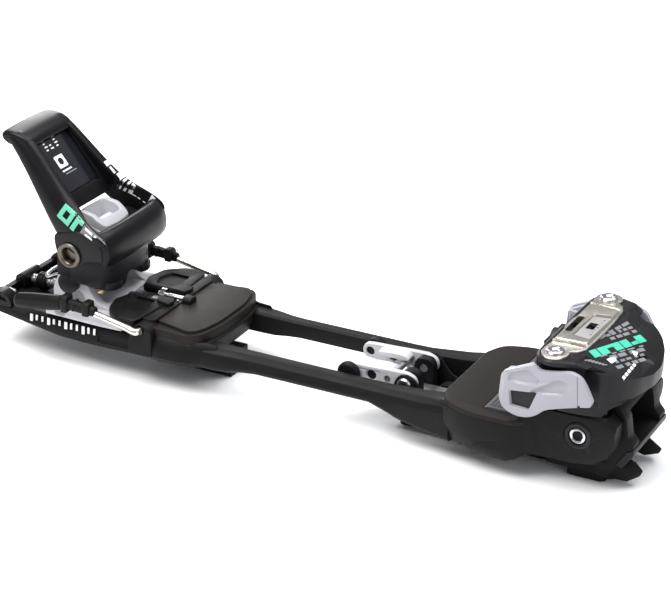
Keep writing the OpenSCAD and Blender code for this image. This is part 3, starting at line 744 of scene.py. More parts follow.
# The line's two ends as (down, y), then the width
HATCH = ((-0.2, -8.0, 5.4, 22.5, 2.0), (1.6, -3.0, 8.8, 20.5, 1.6), (4.0, -4.0, 11.6, 19.8, 1.9),
         (7.4, -22.4, 20.4, 11.6, 0.9), (10.6, -18.2, 21.2, 9.2, 2.3),
         (14.4, -20.0, 23.2, 4.6, 1.5), (17.0, -22.0, 25.0, 1.6, 2.2))
hatch_count = 0
for row, line in enumerate(HATCH):
    bars = 5 if row % 2 else 4
    for i in range(bars):
        start = i / bars + 0.03 * ((row * 7 + i * 5) % 3)
        end = (i + 1) / bars - 0.045
        slope_mark("hatch_%02d" % hatch_count, band(*line, start, end), GREY_INK)
        hatch_count += 1
for i in range(5):
    slope_mark("nose_tick_%d" % i,
               band(23.4, -27.6, 22.8, -8.4, 1.7, i / 5 + 0.02, i / 5 + 0.16), WHITE_INK)
# A white patch by the nose: a painted highlight, not print
slope_mark("nose_painted_highlight", [(11.2, -21.2), (14.6, -21.9), (15.4, -17.0), (13.4, -13.8),
                          (12.4, -16.8)], WHITE_INK)
for i in range(6):
    slope_mark("flank_hatch_%d" % i, band(3.2 + i * 1.6, -33.6 + i * 1.15, 5.6 + i * 1.5,
                                          -29.6 + i * 0.9, 0.7, 0, 1), GREY_INK)

# ------------------------------------------------------------------ toe plate
# Metal plate, raised in the middle, with a round ear about each rivet
half = ([(88.7, 0.0), (88.8, 5), (89.9, 9), (90.2, 26), (89.5, 33)]
        + polar(TOE_RIVET, 7.3, range(176, -31, -12))
        + [(106.6, 31.0), (108.9, 25.5), (109.8, 10), (109.9, 0.0)])
plate = prism("toe_plate", half + [(x, -y) for x, y in half[::-1][1:-1]], 76.6, 78.0, "z")
fuse(plate, layers("add", lambda inset: rounded(mirrored(
    [(89.9 + inset, 24.4 - inset), (109.0 - inset, 24.0 - inset)]), [2, 2.5, 2.5, 2]),
    ((77.5, 0), (78.1, 0.2), (79.4, 1.3)), "z"))
for side in (-1, 1):
    fuse(plate, prism("add", [(90.6, side * 26.2), (108.2, side * 25.0), (108.2, side * 23.6),
                              (90.6, side * 24.8)], 77, 79.6, "z"))
MARKER_HOLE = rect(99.4, -4, 103.9, 4)
cut(plate,
    prism("cut", rounded(rect(91.6, -13.5, 95.4, 6.5), 1.2), 76, 82, "z"),
    layers("cut", lambda out: rounded(
        [(97.0 - out, -15.6 - out), (107.2 + out, -17.4 - out), (107.9 + out, 13.6 + out),
         (97.6 - out, 12.0 + out)], 1.8), ((77.9, 0.0), (82, 0.5)), "z"),
    prism("cut", MARKER_HOLE, 76, 82, "z"))
for side in (-1, 1):
    cut(plate, rod("cut", (TOE_RIVET[0], side * TOE_RIVET[1]), 3.02, 70, 84, "z", 32))
piece(bevel(plate, 0.42, 3, 22), NICKEL, "frame", "plate_nickel", "toe_plate", smooth=34)
window = prism("scale_window", rounded(
    [(97.3, -15.2), (106.9, -17.0), (107.6, 13.2), (97.9, 11.6)], 1.6), 77.3, 78.25, "z")
cut(window, prism("cut", MARKER_HOLE, 76, 82, "z"))
piece(bevel(window, 0.15, 2), WINDOW_GREY, "frame", "plate_nickel")
for i in range(7):
    y = -10.2 + 3.2 * i
    length = 1.2 if i % 3 == 0 else 0.6
    tick = prism("release_tick_%d" % i, rect(104.5, y - 0.3, 104.5 + length, y + 0.3),
                 78.0, 78.33, "z")
    piece(tick, PANEL, "frame", "indicator")
marker = prism("release_marker", rect(94.6, -2.9, 100.6, 2.9), 73.2, 76.3, "z")
piece(bevel(marker, 0.3, 2), PANEL, "toe_indicator", "indicator", "toe_indicator")

rivet = turned("wing_rivet", (TOE_RIVET[0], -TOE_RIVET[1]),
               [(77.9, 3.0), (77.9, 5.0), (78.6, 5.1), (79.4, 4.6), (79.7, 3.8), (79.55, 2.9),
                (78.9, 2.4), (78.5, 1.4), (78.45, 0.02), (56.3, 0.02), (56.3, 2.95),
                (77.9, 2.95)], "z")
both(rivet, CHROME, "frame", "chrome", "wing_pins", smooth=40)


# ------------------------------------------------------------------ wings
def wing_pair(near, far_name, material, smooth, replaced=((), ())):
    piece(near, material, "wing_right", "wing_silver", *replaced[0], smooth=smooth)
    far = mirror_y(near, far_name)
    piece(far, material, "wing_left", "wing_silver", *replaced[1], smooth=smooth)


# x, z and corner radius round the blade
BLADE = ((92.6, 70.0, 1.6), (103, 71.6, 3), (109.5, 73.2, 3.5), (115.2, 71.0, 3), (118.4, 66, 3),
         (121.8, 58.8, 1.8), (120.6, 56.0, 1.0), (115.9, 55.0, 1.0), (105, 51.8, 2),
         (95.7, 48.7, 3), (91.6, 44.6, 3), (86, 41.9, 3), (79.1, 41.5, 4), (72.2, 44.6, 5),
         (69.9, 50.5, 4), (71.3, 65.4, 3), (88.4, 72.9, 0.8))
blade = prism("wing", rounded([(x, z) for x, z, _ in BLADE], [row[2] for row in BLADE], 5),
              -43.5, -46.4)
# The edge curls inwards along the top and rear
fuse(blade, prism("add", rounded(
    [(71.8, 64.5), (70.7, 51.2), (73.6, 46.0), (82, 43.0), (82, 47), (75.5, 50), (75.4, 64),
     (86, 68.5), (87.6, 72.0)], 1.2, 3), -40.2, -45))
bevel(blade, 1.05, 4, 26)
facet = layers("cut", lambda inset: rounded(
    [(74.6 + inset, 60.4 + inset), (75.4 + inset, 66.2 - inset), (86.2 - inset, 69.8 - inset),
     (93.4 - inset, 64.4), (91.8 - inset, 61.6 + inset), (84, 60.3 + inset)], 1.6),
    ((-45.2, 1.2), (-47.4, -0.9)))
SCOOP = rounded([(86.6, 56.0), (97, 57.6), (105.4, 59.4), (108.8, 62.4), (108.8, 65.6),
                 (105.6, 67.6), (100.6, 66.8), (95.5, 62.8), (89, 59.4)], 2.4, 5)
scoop = layers("cut", lambda factor: scaled(SCOOP, (93.4, 62.2), factor),
               ((-45.1, 0.82), (-45.6, 0.93), (-47.2, 1.09)))
OPENING = rounded([(75.9, 55.3), (91.0, 57.2), (86.7, 46.2), (76.8, 46.9)], 1.0)
opening = layers("cut", lambda factor: scaled(OPENING, (82.5, 52), factor),
                 ((-44.3, 0.98), (-45.6, 1.0), (-47.2, 1.12)))
# A groove and a notch before the front tip
groove = prism("cut", [(112.6, 75), (113.3, 75), (114.4, 53), (113.7, 53)], -47, -46.0)
notch = prism("cut", [(113.2, 55.4), (115.2, 55.9), (115.0, 53.0), (113.8, 53.0)], -47, -43)
cut(blade, facet, scoop, opening, groove, notch)
bevel(blade, 0.28, 2, 30)
wing_pair(blade, "wing_far_blade", WING, 36, (("wing_right",), ("wing_left",)))
blade.name = "wing_near_blade"

backing = prism("wing_window_back", rounded(
    [(75.6, 55.2), (91.4, 57.2), (87.2, 46.6), (76.2, 47.2)], 1), -44.5, -43.3)
wing_pair(backing, "wing_window_back_far", HOUSING, 30)

near_rivet = (TOE_RIVET[0], -TOE_RIVET[1])
shoulder = prism("wing_shoulder", rounded(
    [(77.4, -38), (90, -38.4), (96.4, -43.9), (71.6, -43.9)], 1), 47.7, 62.6, "z")
fuse(shoulder,
     prism("add", [(91, -36), (102.2, -36), (105, -43.9), (87, -43.9)], 56.6, 63.4, "z"),
     rod("add", near_rivet, 6.3, 56.6, 63.4, "z", 40),
     prism("add", rounded([(72.6, -43.9), (73.2, -38), (80, -36.8), (83.6, -43.9)], 1.2),
           60.2, 65.4, "z"))
cut(shoulder, rod("cut", near_rivet, 3.06, 50, 70, "z", 32))
wing_pair(bevel(shoulder, 0.6), "wing_shoulder_far", WING, 32)

# Boot rest plate with raised ribs across it
rest = prism("boot_rest", rounded(
    [(57.1, 33.6), (74.9, 33.6), (74.9, 36.2), (72.2, 37.0), (59.8, 37.0), (57.1, 36.2)], 0.5),
    -35.9, 35.9)
for i in range(7):
    fuse(rest, prism("add", rounded(
        [(59.4 + 2 * i, 36), (60.6 + 2 * i, 36), (60.5 + 2 * i, 37.35), (59.5 + 2 * i, 37.35)],
        0.2, 2), -33.5, 33.5))
piece(bevel(rest, 0.25, 2), GLIDE, "frame", "glide", "afd_plate")

# Tour axle heads with a hexagon socket
bolt = turned("tour_bolt", AXLE, [(-20, 0.02), (-20, 4.65), (-36.4, 4.65), (-37.2, 4.3),
                                  (-37.5, 3.6), (-37.1, 2.9), (-34.0, 2.7), (-34.0, 0.02)])
cut(bolt, prism("cut", polar(AXLE, 3.0, range(10, 370, 60)), -40, -34.5))
both(bevel(bolt, 0.2, 2, 40), CHROME, "frame", "chrome", "tour_axle", smooth=40)
piece(rod("tour_shaft", AXLE, 4.6, -20.5, 20.5), STEEL, "frame", "steel", smooth=40)
# Near-black discs at the floor of each hexagon socket: painted shade in the sockets
for side, side_name in SIDES:
    piece(rod("socket_painted_shade_" + side_name, AXLE, 2.95, side * 33.9, side * 34.5, "y", 24),
          PANEL, "frame", "steel", smooth=40)


# ------------------------------------------------------------------ sliding pivot block
def slide_slot(start):
    """Cutters for the T-shaped slot that runs over the base plate."""
    return (prism("cut", rect(start, 0, 150, 8.9), -6.5, 6.5),
            prism("cut", rect(start, 8, 150, 12.5), -10.5, 10.5))


core = prism("pivot_core", rounded(
    [(88, 5.5), (122.8, 5.5), (129.4, 14), (136.2, 23.2), (137.2, 26.4), (133.6, 30.5),
     (132.2, 41), (127.4, 48.4), (119, 53.6), (111, 55.2), (102.6, 53.8), (94.6, 48), (90.2, 40),
     (88.6, 33), (88, 20)], [1, 2, 2, 2, 1.5, 1.5, 2, 3, 3, 3, 3, 3, 3, 3, 2]), -23.3, 23.3)
cut(core, prism("cut", rounded([(121, 24), (150, 24), (150, 43), (123, 43)], 1.5), -15, 15),
    rod("cut", AXLE, 7.05, -30, 30, "y", 40), *slide_slot(80))
piece(bevel(core, 0.9), BLACK, "pivot_carriage", "base_plastic", "pivot_block", smooth=32)
shoe = prism("pivot_shoe", rounded(rect(46, 5.5, 96, 20.3), 1), -13.5, 13.5)
cut(shoe, *slide_slot(30), prism("cut", rect(30, 11.9, 64, 30), -4.4, 4.4))
piece(bevel(shoe, 0.7), BASE, "pivot_carriage", "base_plastic", smooth=32)
foot = loft("pivot_foot", [
    [(114, -23.6, 6.4), (114, -12.4, 6.4), (114, -12.4, 15.2), (114, -23.6, 15.2)],
    [(121.4, -23.8, 4.4), (121.8, -12.3, 4.4), (124.6, -12.3, 15.4), (122.6, -23.8, 14.2)],
    [(124.2, -18.8, 2.2), (130.6, -12.4, 2.4), (135.0, -12.6, 12.4), (126.6, -21.6, 11.4)],
    [(133.0, -19.6, 2.9), (138.2, -14.2, 4.8), (140.0, -13.6, 8.4), (134.0, -20.0, 5.6)]])
both(bevel(foot, 0.8, 3, 20), BLACK, "pivot_carriage", "base_plastic")
lip = prism("pivot_lip", rounded(
    [(127.6, 13.4), (131.0, 12.6), (137.4, 21.4), (137.2, 24.6), (133.2, 22.6)], 0.9),
    -23.8, 23.8)
piece(bevel(lip, 0.6), HOUSING, "pivot_carriage", "base_plastic")
bush = turned("axle_bush", AXLE, [(-13, 4.76), (-13, 6.95), (-22.9, 6.95), (-23.3, 6.5),
                                  (-23.3, 4.76)])
both(bush, BRASS, "pivot_carriage", "brass", "axle_bushes", smooth=40)

# ------------------------------------------------------------------ mode lever
# x, z and corner radius round the arm
MODE_ARM = ((-39.6, 25.6, 1.5), (-38.2, 23.2, 1.5), (-35, 22.8, 2), (-20, 22.8, 4),
            (-8, 21.6, 4), (1.5, 21.4, 3), (6.2, 23.6, 3), (7.6, 27.5, 3), (6.2, 31.4, 3),
            (1.5, 33.5, 3), (-8, 33.3, 4), (-20, 32.6, 4), (-34, 32.2, 2), (-38.2, 31.4, 1.5),
            (-39.8, 28.6, 1.5))
HOLE_Z = 27.4
mode_arm = prism("mode_arm", rounded([(x, z) for x, z, _ in MODE_ARM],
                                     [row[2] for row in MODE_ARM]), -15.2, -11.8)
bevel(mode_arm, 0.6, 4, 40)
for x, hole_radius in ((-35, 2.7), (-20.5, 2.9)):
    cut(mode_arm, layers("cut", lambda radius: polar((x, HOLE_Z), radius, range(0, 360, 15)),
                         ((-11, hole_radius), (-14.5, hole_radius), (-15.6, hole_radius + 1.2))))
cut(mode_arm, rod("cut", LEVER_PIN, 2.55, -16, -11, "y", 32),
    rod("cut", (-10.5, 27.5), 1.95, -16, -11, "y", 32),
    prism("cut", rounded([(-29.5, 29.4), (-14.5, 29.9), (-14.8, 31), (-29.5, 30.6)], 0.5),
          -15.6, -14.7))
both(mode_arm, GREY, "mode_lever", "lever_grey", "mode_lever", smooth=36)
# Black discs set midway in the arm's through holes: painted shade in the holes
for i, x in enumerate((-35, -20.5)):
    both(rod("mode_hole_painted_shade_%d" % i, (x, HOLE_Z), 3.0, -12.9, -13.9, "y", 28), BASE, "mode_lever",
         "lever_grey", smooth=40)
# x, bottom z, top z
MODE_WEB = ((-26.4, 29.7, 32.3), (-20, 29.7, 32.9), (-13, 29.7, 33.2), (-9.4, 29.7, 32.6),
            (-7.6, 29.9, 31.2))
for side, side_name in SIDES:
    web = stations("mode_web_" + side_name, lambda low, top: [
        (side * 4.9, low), (side * 12.4, low), (side * 12.4, top), (side * 9.0, top + 0.3),
        (side * 4.9, top - 0.2)], MODE_WEB)
    piece(bevel(web, 0.5, 3, 25), GREY, "mode_lever", "lever_grey", smooth=34)
thumb_pad = turned("mode_thumb_pad", (-33.2, 27.0), [
    (-15.4, 0.02), (-15.4, 5.9), (-16.2, 6.6), (-18.4, 6.6), (-19.4, 5.6), (-19.6, 3.2),
    (-19.2, 0.02)], "y", 48)
both(thumb_pad, BASE, "mode_lever", "lever_grey", smooth=40)
pin = turned("lever_pin", LEVER_PIN, [
    (-6, 0.02), (-6, 2.45), (-17.3, 2.45), (-17.3, 4.2), (-18.6, 4.3), (-19.4, 3.6),
    (-19.4, 1.9), (-18.6, 1.3), (-18.6, 0.02)])
both(pin, STEEL, "ski_base", "steel", "lever_pins", smooth=40)

# ------------------------------------------------------------------ plate under lever and pivot
base = prism("base_plate", rounded(mirrored([(-4.6, 12.4), (97, 12.4), (99.5, 21), (121, 21)]),
                                   [3, 2, 2, 4, 4, 2, 2, 3]), 0, 5, "z")
fuse(base, prism("add", rect(44, 4, 120, 9), -6, 6), prism("add", rect(44, 8.5, 120, 12), -10, 10))
for side in (-1, 1):
    fuse(base,
         prism("add", rounded([(-4.5, 3), (7.5, 3), (7.5, 29), (5.4, 33.2), (-2.4, 33.2),
                               (-4.5, 29)], [0, 0, 2.5, 2.5, 2.5, 2.5]), side * 6, side * 11.2),
         prism("add", rounded([(-5, 3), (44, 3), (44, 17.4), (41, 19.6), (12, 19.6), (7, 14),
                               (-3, 14), (-5, 12)], [0, 0, 2, 2, 3, 3, 2, 1]),
               side * 6.4, side * 12.4),
         # Outer ear round the pin, falling away to a low wall
         prism("add", rounded(
             [(-6.2, 6), (-6.4, 24), (-3.6, 31.4), (1.5, 33.6), (6.8, 31.8), (10.2, 26.4),
              (14.6, 21.6), (22, 19.6), (30, 20.4), (37, 18.8), (44, 20.4), (44, 6)],
             [1, 3, 3, 4, 3, 4, 4, 3, 2, 2, 1.5, 1]), side * 15.5, side * 17.2),
         prism("add", rect(-4, 6, 44, 12), side * 12, side * 16))
    cut(base, rod("cut", LEVER_PIN, 2.5, side * 5, side * 18, "y", 32),
        rod("cut", (34, side * 9), 2.75, -1, 6, "z", 24),
        rod("cut", (34, side * 9), 4.4, 2.6, 24, "z", 24),
        rod("cut", (110, side * 16.5), 2.75, -1, 6, "z", 24),
        rod("cut", (110, side * 16.5), 4, 2.6, 6, "z", 24))
piece(bevel(base, 0.55), BASE, "ski_base", "base_plastic", "front_base_plate", smooth=32)

# ------------------------------------------------------------------ heel carriage
carriage = prism("carriage_base", rounded(
    [(-222, 24.2), (-207, 24.2), (-205, 20.6), (-171, 20.6), (-170.2, 28), (-172, 33.8),
     (-192, 33.6), (-222, 33.6)], [1, 1, 1, 1.5, 2, 2.5, 1, 1]), -29.3, 29.3)
cut(carriage, rod("cut", SPINDLE, 4.3, -240, -150, "x", 32),
    prism("cut", rect(-207.2, -7.4, -194.8, 7.4), 22, 45, "z"),
    prism("cut", rect(-190.2, -9.1, -175.8, 9.1), 22, 45, "z"))
piece(bevel(carriage, 0.9, 3, 30), GREY, "heel_carriage", "grey_plastic", "heel_carriage",
      smooth=32)
# x, bottom z, top z
CARRIAGE_SIDE = ((-224, 29.1, 32.6), (-214, 29.1, 33.2), (-196, 28.8, 33.6), (-187, 28.6, 33.3),
                 (-179, 28.8, 31.9), (-171.5, 29.0, 30.6))
flank = stations("carriage_side", lambda low, top: [
    (-29, low), (-35.5, low), (-35.5, (low + top) / 2), (-34.9, top - 0.6), (-33.5, top),
    (-29, top + 0.4)], CARRIAGE_SIDE)
cut(flank, layers("cut", lambda radius: polar(DISH, radius, range(0, 360, 12)),
                  ((30.6, 6.2), (36, 7.4)), "z"))
both(bevel(flank, 0.6, 3, 25), GREY, "heel_carriage", "grey_plastic")
dish = turned("carriage_dish", DISH, [(30.2, 0.02), (31.0, 0.02), (31.0, 4.4), (31.6, 5.6),
                                      (31.6, 6.2), (30.2, 6.2)], "z", 40)
both(dish, MID_GREY, "heel_carriage", "grey_plastic", smooth=40)
lug = prism("carriage_lug", smoothed(
    [(-224, 30), (-225.6, 36), (-225.2, 42), (-222.2, 48.5), (-218.6, 54.2), (-214, 57.2),
     (-209, 57.0), (-204.6, 53.4), (-201.4, 47.4), (-198.4, 41.5), (-194.6, 37.2), (-188, 34.4),
     (-188, 30), (-206, 30)], 3), -24.5, -19.1)
LUG_RECESS = rounded([(-217, 33.4), (-204, 33.4), (-203, 38), (-206.5, 42.6), (-212.5, 43.4),
                      (-217.5, 40)], 2.6, 5)
cut(lug, rod("cut", CUP_PIVOT, 3.25, -30, -15, "y", 32),
    layers("cut", lambda factor: scaled(LUG_RECESS, (-210.5, 37.5), factor),
           ((-23.6, 0.94), (-25.4, 1.06))))
both(bevel(lug, 0.8, 3, 30), GREY, "heel_carriage", "grey_plastic", smooth=32)
recess_floor = prism("carriage_recess", rounded(
    [(-217, 33.6), (-204.2, 33.6), (-203.2, 38), (-206.7, 42.4), (-212.5, 43.2), (-217.3, 40)],
    2.6, 5), -23.9, -23.4)
both(recess_floor, MID_GREY, "heel_carriage", "grey_plastic", smooth=32)
front = layers("carriage_front", lambda inset: rounded(mirrored(
    [(-203, 24.5), (-194, 24.5), (-188, 20.5 - inset)]), [1, 3, 4, 4, 3, 1]),
    ((30, 0), (34.2, 0), (35.2, 0.9)), "z")
cut(front, prism("cut", rect(-208, -7.4, -194.8, 7.4), 22, 34.4, "z"))
piece(bevel(front, 0.5, 3, 30), GREY, "heel_carriage", "grey_plastic", smooth=32)

# Locking wire bent round the spindle; half paths as x, y, z on the +y side
LOCK_WIRE = ((-219.6, 18.0, 38), (-221.4, 14.5, 40.6), (-224.6, 13.2, 43.2), (-229, 12.6, 43.6),
             (-233.4, 12.0, 42.0), (-237.4, 11.0, 39.6), (-240.6, 9.4, 38.8), (-242.4, 6.4, 39.0),
             (-243.0, 0.0, 39.2))
LOCK_BRIDGE = ((-219.8, 20, 38.2), (-222.5, 16.5, 38.4), (-226, 14.6, 37.4), (-230, 12.2, 36.6),
               (-233, 7.4, 36.6))
for side, side_name in SIDES:
    lock = wire("lock_wire_" + side_name, [(x, side * y, z) for x, y, z in LOCK_WIRE], 1.25, 8)
    piece(lock, CHROME, "heel_carriage", "chrome", *(("lock_wire",) if side < 0 else ()),
          smooth=60)
lock = wire("lock_wire_bridge", [(x, -y, z) for x, y, z in LOCK_BRIDGE] + [(-234, 0, 36.7)]
            + list(LOCK_BRIDGE[::-1]), 1.0, 6)
piece(lock, CHROME, "heel_carriage", "chrome", smooth=60)

# Ribbed spindle knob and threaded core
knob = layers("spindle_knob",
              lambda radius: polar(SPINDLE, radius, [7.5 * i for i in range(48)]),
              [(-253.2 + 0.55 * k, 4.9 + (0.45 if (k // 2) % 2 else 0)) for k in range(13)], "x")
piece(knob, LEVER, "length_spindle", "steel")
thread = [(x, 3.35 if i % 2 else 2.75) for i, x in enumerate(-256.6 + 0.92 * j
                                                            for j in range(100))]
spindle = turned("spindle_core", SPINDLE,
                 [(-266.3, 0.02), (-266.3, 2.2), (-265.9, 2.55), (-258, 2.55), (-257.4, 3.3)]
                 + thread + [(-164.6, 2.55), (-144.2, 2.55), (-144.2, 0.02)], "x", 24)
cut(spindle, prism("cut", [(-268, -0.6), (-265.2, -0.6), (-265.2, 0.6), (-268, 0.6)],
                   25, 35, "z"))
piece(spindle, STEEL, "length_spindle", "steel", "length_spindle")


# ------------------------------------------------------------------ heel cup
def cup_ring(half, z, inset=0.0):
    return [(x - inset if x > -200 else x, y - (inset if y > 0 else -inset), z)
            for x, y in smoothed(mirrored(half), 3)]


# Half outlines (x, y) of the shell
CUP_OUTER = [(-217, 29.55), (-209, 29.6), (-201.5, 29.4), (-194.5, 26.6), (-189, 21.6),
             (-185.8, 14.6), (-184.6, 6)]
CUP_INNER = [(-232, 25.3), (-209, 25.3), (-202, 25.0), (-196.4, 22.6), (-192.2, 17.8),
             (-189.6, 12), (-188.6, 5)]
# The wavy lower edge seen from the front: y, z
CUP_HEM = [(-30.5, 49.0), (-26.5, 48.2), (-22.8, 45.4), (-18, 44.0), (-13.4, 43.6),
           (-9.8, 44.6), (-7.6, 47.4), (-6.4, 51.0), (-3.4, 52.4), (1.2, 51.4), (3.0, 49.6),
           (6.4, 50.2), (9.8, 48.2), (13.5, 44.6), (18, 44.0), (22.8, 45.4), (26.5, 48.2),
           (30.5, 49.0), (32, 38), (0, 30), (-32, 38)]
cup = loft("cup_shell", [cup_ring(CUP_OUTER, z, inset) for z, inset in (
    (42, 1.6), (46, 0.6), (52, 0), (60, 0), (66, 0.5), (69, 1.4))])
cut(cup, loft("cut", [cup_ring(CUP_INNER, 38), cup_ring(CUP_INNER, 72)]),
    prism("cut", smoothed(CUP_HEM, 3), -206, -170, "x"),
    prism("cut", [(-235, 40), (-203.8, 40), (-205.4, 47), (-209, 52), (-217, 56.4), (-235, 62)],
          -40, 40))
for side in (-1, 1):
    fuse(cup, rod("add", RING, 8.3, side * 25.3, side * 29.6),
         rod("add", CUP_PIVOT, 6.3, side * 25.3, side * 29.6, "y", 40))
    cut(cup, rod("cut", RING, 5.6, side * 20, side * 40, "y", 40),
        rod("cut", CUP_PIVOT, 3.3, side * 20, side * 28.7, "y", 32),
        rod("cut", CUP_SCREW, 2.05, side * 20, side * 27.7, "y", 24))
piece(bevel(cup, 0.9, 4, 30), CUP, "heel_cup", "cup_black", "heel_cup", smooth=36)
for side, side_name in SIDES:
    pedal = layers("pedal_" + side_name, lambda out: [(x, side * y) for x, y in rounded(
        [(-196, 12), (-186.2 + out, 10), (-184.2 + out, 14), (-185.4 + out, 19), (-191, 23)],
        1.4, 3)], ((44.8, -0.6), (46, 0), (49.6, 0)), "z")
    piece(bevel(pedal, 0.5), CUP, "heel_cup", "cup_black", smooth=32)

core = prism("heel_core", rounded(
    [(-219, 43.4), (-207, 41.4), (-197.4, 47.4), (-192, 56), (-193.6, 72), (-197.6, 78),
     (-206.6, 80.5), (-213.6, 75), (-220.6, 56.6)], 2.2), -14.4, 14.4)
cut(core, rod("cut", (0, 62), 8.4, -216, -194.6, "x", 40),
    rod("cut", (0, 62), 3.1, -230, -215, "x", 24))
for side in (-1, 1):
    fuse(core,
         prism("add", rounded(rect(-206, 54.2, -193.8, 71.8), 1.2), side * 14.2, side * 24.6),
         rod("add", CUP_PIVOT, 5.9, side * 14, side * 18.5, "y", 40))
    cut(core, rod("cut", RING, 5.7, side * 10, side * 40, "y", 40),
        rod("cut", CUP_PIVOT, 3.3, side * 1, side * 40, "y", 32),
        rod("cut", CUP_SCREW, 2.05, side * 18, side * 40, "y", 24))
piece(bevel(core, 0.8), GREY, "heel_cup", "grey_plastic", "heel_housing", smooth=32)

# Yoke between the lever's arms, trimmed to an arc about the ring
yoke = prism("heel_yoke", rounded(
    [(-216, -6), (-213.5, -13.2), (-199.5, -14), (-194.6, -12), (-193.6, 0), (-194.6, 12),
     (-199.5, 14), (-213.5, 13.2), (-216, 6)], [2, 3, 3, 2, 1, 2, 3, 3, 2]), 72, 88.5, "z")
cut(yoke,
    layers("cut", lambda inset: rounded(
        [(-213.0 + inset, -9.8 + inset), (-199 - inset, -10.4 + inset),
         (-198.4 - inset, 10.4 - inset), (-212.4 + inset, 9.8 - inset)], 2.2),
        ((75.4, 2.0), (88.6, -0.4)), "z"),
    prism("cut", polar(RING, 19.4, range(170, 99, -10))
          + [(-203, 86.2), (-193, 79.4), (-185, 74), (-185, 99), (-232, 99), (-232, 71.8)],
          -20, 20))
piece(bevel(yoke, 0.8), PALE_GREY, "heel_cup", "grey_plastic", smooth=32)
saddle = prism("yoke_saddle", rounded(rect(-204.8, -6.2, -200.6, 6.2), 1.2), 75.4, 79.4, "z")
piece(bevel(saddle, 0.6), CHROME, "heel_cup", "chrome", smooth=32)

ring = turned("lever_ring", RING, [
    (-16.2, 4.45), (-16.2, 5.55), (-33.0, 5.55), (-33.0, 7.5), (-33.9, 7.6), (-34.35, 7.1),
    (-34.35, 5.6), (-33.8, 4.9), (-32.0, 4.45)], "y", 64)
both(ring, BRONZE, "heel_cup", "ring_bronze", "lever_rings", smooth=40)
plug = turned("ring_plug", RING, [(-25, 0.02), (-25, 4.4), (-29.4, 4.4), (-30.2, 3.8),
                                  (-30.2, 0.02)], "y", 40)
both(plug, BRONZE, "heel_cup", "ring_bronze", smooth=40)

# ------------------------------------------------------------------ heel lever
# Down the arm: front x, z, rear x, z, inner y, outer y
LEVER_ARM = ((-247.0, 132.9, -257.6, 131.0, 15.5, 21.6), (-242.4, 131.0, -253.6, 127.0, 15.8, 22.8),
             (-236.0, 126.4, -248.6, 121.6, 16.2, 23.8), (-223.2, 112.8, -239.2, 110.0, 17.4, 26.4),
             (-211.6, 100.4, -229.4, 95.8, 19.4, 29.2), (-203.4, 94.2, -222.2, 85.6, 22.0, 31.2),
             (-196.0, 89.8, -215.4, 76.4, 28.6, 32.7), (-189.0, 86.4, -207.0, 68.8, 29.9, 33.1),
             (-183.6, 83.4, -197.0, 66.8, 29.9, 33.0), (-180.2, 79.4, -188.0, 66.2, 29.4, 32.0))


def arm_ring(front_x, front_z, rear_x, rear_z, inner, outer):
    """Section points as a fraction from rear to front, and y."""
    width = outer - inner
    section = ((0.0, inner), (0.0, inner + width * 0.35), (0.03, outer - 1.4),
               (0.12, outer - 0.2), (0.4, outer), (0.60, outer - 0.3), (0.82, outer - 1.9),
               (0.97, outer - width * 0.27), (1.0, inner + width * 0.22), (0.98, inner + 0.5),
               (0.86, inner), (0.4, inner))
    return [(rear_x + (front_x - rear_x) * part, -y, rear_z + (front_z - rear_z) * part)
            for part, y in section]


arm = subdivide(loft("lever_arm", [arm_ring(*row) for row in LEVER_ARM]))
_, far_arm = both(arm, LEVER, "heel_lever", "heel_black", "heel_lever", smooth=50)
eye = prism("lever_eye", rounded(
    [(-217.4, 80), (-216.4, 70.5), (-213, 62.6), (-206.6, 59.6), (-200.0, 61.6), (-195, 66.0),
     (-189, 67.2), (-184, 67.6), (-184, 77), (-200, 84.5)], [4, 4, 5, 6, 5, 4, 3, 2, 3, 4], 5),
    -32.9, -29.8)
cut(eye, rod("cut", RING, 5.66, -40, -20))
both(bevel(eye, 0.8, 4, 35), LEVER, "heel_lever", "heel_black", smooth=36)

# Brow: a full-width visor that drops in front of the cup; section as x, z
BROW = ((-188.6, 75.0), (-187.0, 71.8), (-184.0, 70.6), (-183.2, 65.0), (-180.4, 63.6),
        (-178.0, 66.0), (-177.0, 72.0), (-178.2, 78.6), (-181.4, 83.2), (-185.6, 84.8),
        (-189.6, 82.8), (-189.4, 79.0))


def brow_ring(y):
    """The section swept back and thinned towards the ends."""
    reach = abs(y)
    sweep = -0.0022 * reach * reach if reach < 24 else -1.27 - (reach - 24) * 0.30
    size = 1.0 if reach < 32 else 0.62
    return [(-186.5 + (x + 186.5) * size + (sweep if x > -193 else sweep * 0.3), y,
             75.6 + (z - 75.6) * size + 0.5 * (1 - (reach / 32.4) ** 2)) for x, z in BROW]


brow = subdivide(loft("lever_brow", [brow_ring(y) for y in (
    -32.4, -31.4, -28.5, -24, -18, -10, 0, 10, 18, 24, 28.5, 31.4, 32.4)]))
piece(brow, LEVER, "heel_lever", "heel_black", smooth=50)

# Web between the arms, with a glossy panel in its recess
web = prism("lever_web", rounded(
    [(-255.4, 131.0), (-250.6, 123.6), (-239.4, 108.6), (-228.4, 95.0), (-218.4, 86.2),
     (-212.6, 88.9), (-219.4, 100.6), (-229.2, 113.4), (-241.2, 128.6)],
    [1, 1, 2, 1, 1, 1, 1, 1, 1], 3), -20.8, 20.8)
cut(web, prism("cut", [(-240.6, 133.6), (-213.6, 99.6), (-218.7, 95.6), (-246.0, 129.4)],
               -16.4, 16.4))
piece(bevel(web, 0.7, 3, 30), LEVER, "heel_lever", "heel_black", smooth=32)
gloss = prism("lever_panel_gloss", rounded(
    [(-244.4, 129.3), (-219.0, 97.4), (-220.6, 96.0), (-246.0, 127.9)], 0.4, 3), -16.0, 16.0)
piece(bevel(gloss, 0.4), PANEL, "heel_lever", "panel", "lever_panel", smooth=32)

